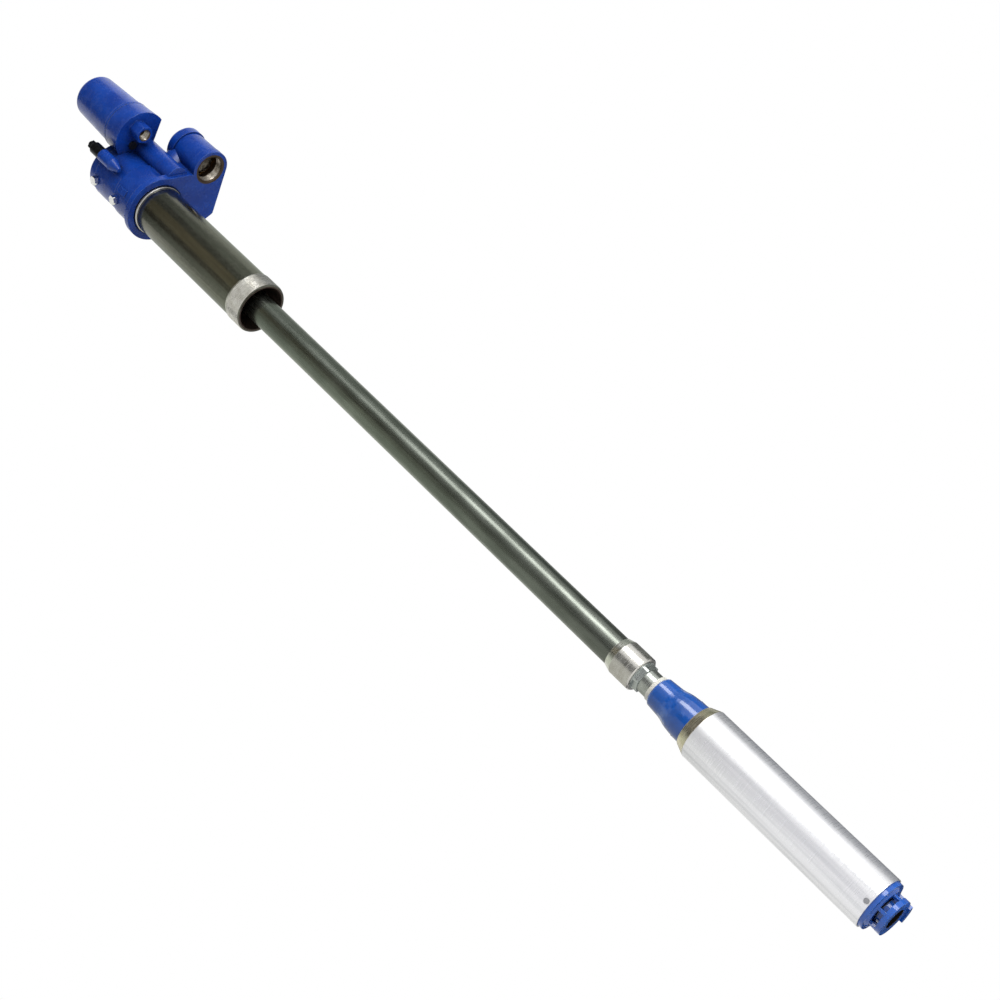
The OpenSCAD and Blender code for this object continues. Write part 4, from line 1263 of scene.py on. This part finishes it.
@dataclass(frozen=True)
class Stage:
    """Pale floor, soft lamps and the camera."""

    lens_mm: float = 61.2
    sensor_mm: float = 36.0
    camera_reach: float = 60.0
    camera_place: tuple[float, float, float] = (0.0525, -2.7983, -2.2395)
    elevation_deg: float = 28.5
    roll_deg: float = 46.6026
    world_light: float = 0.36
    floor_z: float = -2.75
    floor_half: float = 9.0
    floor_colour: str = "#f4f4f2"
    floor_patch_colour: str = "#efefec"
    floor_patch_mm: float = 400.0
    floor_roughness: float = 0.7
    floor_lift: float = 0.3
    card_steps: int = 12

    def camera(self) -> None:
        """Place the camera at the photograph's viewing angle: it looks up along +Y and is rolled."""
        rise, roll = math.radians(self.elevation_deg), math.radians(self.roll_deg)
        forward = Vector((0, math.cos(rise), math.sin(rise)))
        level, upright = Vector((1, 0, 0)), Vector((0, -math.sin(rise), math.cos(rise)))
        right = level * math.cos(roll) - upright * math.sin(roll)
        up = level * math.sin(roll) + upright * math.cos(roll)
        data = bpy.data.cameras.new("view")
        data.lens, data.sensor_width = self.lens_mm, self.sensor_mm
        data.clip_end = self.camera_reach
        eye = bpy.data.objects.new("view", data)
        turn = Matrix((right, up, -forward)).transposed()
        eye.matrix_world = Matrix.Translation(self.camera_place) @ turn.to_4x4()
        bpy.context.scene.collection.objects.link(eye)
        bpy.context.scene.camera = eye

    def world(self) -> None:
        """Make the world white where it shows as background, and softer as light on the object."""
        world = bpy.data.worlds.new("studio")
        world.use_nodes = True
        tree = world.node_tree
        tree.nodes.clear()
        power = add_node(
            tree,
            "ShaderNodeMapRange",
            inputs={"Value": background_rays(tree), "To Min": self.world_light, "To Max": 1.0},
        ).outputs[0]
        white = linear_colour("#ffffff")
        light = add_node(tree, "ShaderNodeBackground", inputs={"Color": white, "Strength": power})
        add_node(tree, "ShaderNodeOutputWorld", inputs={"Surface": light.outputs[0]})
        bpy.context.scene.world = world

    def floor(self) -> None:
        """Lay a pale floor well below the hanging pump, under the camera."""
        half = self.floor_half
        mesh = bpy.data.meshes.new("floor")
        square = ((-half, -half), (half, -half), (half, half), (-half, half))
        mesh.from_pydata([(x, y, self.floor_z) for x, y in square], [], [(0, 1, 2, 3)])
        floor = bpy.data.objects.new("floor", mesh)
        bpy.context.scene.collection.objects.link(floor)
        r = Recipe("pale_floor")
        tone = r.blend(r.noise(self.floor_patch_mm), self.floor_colour, self.floor_patch_colour)
        # Where it shows as background, the floor is lifted towards white, and it still takes shadows.
        lift = r.math("MULTIPLY", background_rays(r.tree), self.floor_lift)
        material = r.finish(
            Base_Color=tone, Roughness=self.floor_roughness, Emission_Color=tone, Emission_Strength=lift
        )
        mesh.materials.append(material)

    def at(self, azimuth: float, distance: float, height: float) -> Vector:
        """Give a place round the pump.

        Args:
            azimuth: degrees from the camera's side, positive towards +X.
            distance: metres from the pump's axis.
            height: metres above the part's origin.

        Returns:
            The place in the part's frame.
        """
        angle = math.radians(azimuth)
        return Vector((math.sin(angle) * distance, -math.cos(angle) * distance, height))

    def lamp(self, lamp: Lamp) -> None:
        """Hang one lamp level with its own height, facing the axis.

        Args:
            lamp: the lamp.
        """
        data = bpy.data.lights.new(lamp.name, "AREA")
        data.shape, data.energy = "RECTANGLE", lamp.power
        data.size, data.size_y = lamp.size
        piece = bpy.data.objects.new(lamp.name, data)
        place = self.at(lamp.azimuth, lamp.distance, lamp.height)
        turn = (Vector((0, 0, lamp.height)) - place).to_track_quat("-Z", "Y")
        piece.matrix_world = Matrix.Translation(place) @ turn.to_matrix().to_4x4()
        piece.visible_camera = False
        piece.visible_glossy = lamp.mirrored
        bpy.context.scene.collection.objects.link(piece)

    def card(self, card: Card) -> None:
        """Stand one curved card that only reflections see, as a studio does round bright metal.

        Args:
            card: the card.
        """
        points, faces = [], []
        for i in range(self.card_steps + 1):
            azimuth = card.start + (card.end - card.start) * i / self.card_steps
            points += [self.at(azimuth, card.distance, height) for height in (card.low, card.high)]
        for i in range(self.card_steps):
            faces.append((2 * i, 2 * i + 2, 2 * i + 3, 2 * i + 1))
        mesh = bpy.data.meshes.new(card.name)
        mesh.from_pydata(points, [], faces)
        piece = bpy.data.objects.new(card.name, mesh)
        bpy.context.scene.collection.objects.link(piece)
        material = bpy.data.materials.new(card.name)
        material.use_nodes = True
        tree = material.node_tree
        tree.nodes.clear()
        paint = linear_colour(card.colour)
        glow = add_node(tree, "ShaderNodeEmission", inputs={"Color": paint, "Strength": 1.0})
        add_node(tree, "ShaderNodeOutputMaterial", inputs={"Surface": glow.outputs[0]})
        mesh.materials.append(material)
        piece.visible_camera = piece.visible_diffuse = False
        piece.visible_shadow = piece.visible_transmission = False

    def build(self) -> None:
        """Set the view, the light and the floor."""
        bpy.context.scene.view_settings.view_transform = "Standard"
        self.camera()
        self.world()
        self.floor()
        for lamp in LAMPS:
            self.lamp(lamp)
        for card in CARDS:
            self.card(card)


def main() -> None:
    """Dress the frame, add the fine pieces and set the stage."""
    logging.basicConfig(level=logging.INFO, format="%(name)s: %(message)s")
    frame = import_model()
    wardrobe = Wardrobe()
    for assembly in (ManifoldHead(), RiserPipe(), TelescopeColumn(), PumpUnit()):
        assembly.build(frame, wardrobe)
    made = set(wardrobe.made.values())
    bare = [n for n, o in frame["nodes"].items() if o.material_slots[0].material not in made]
    LOG.info("nodes left bare: %s", bare)

    Stage().build()


if __name__ == "__main__":
    main()
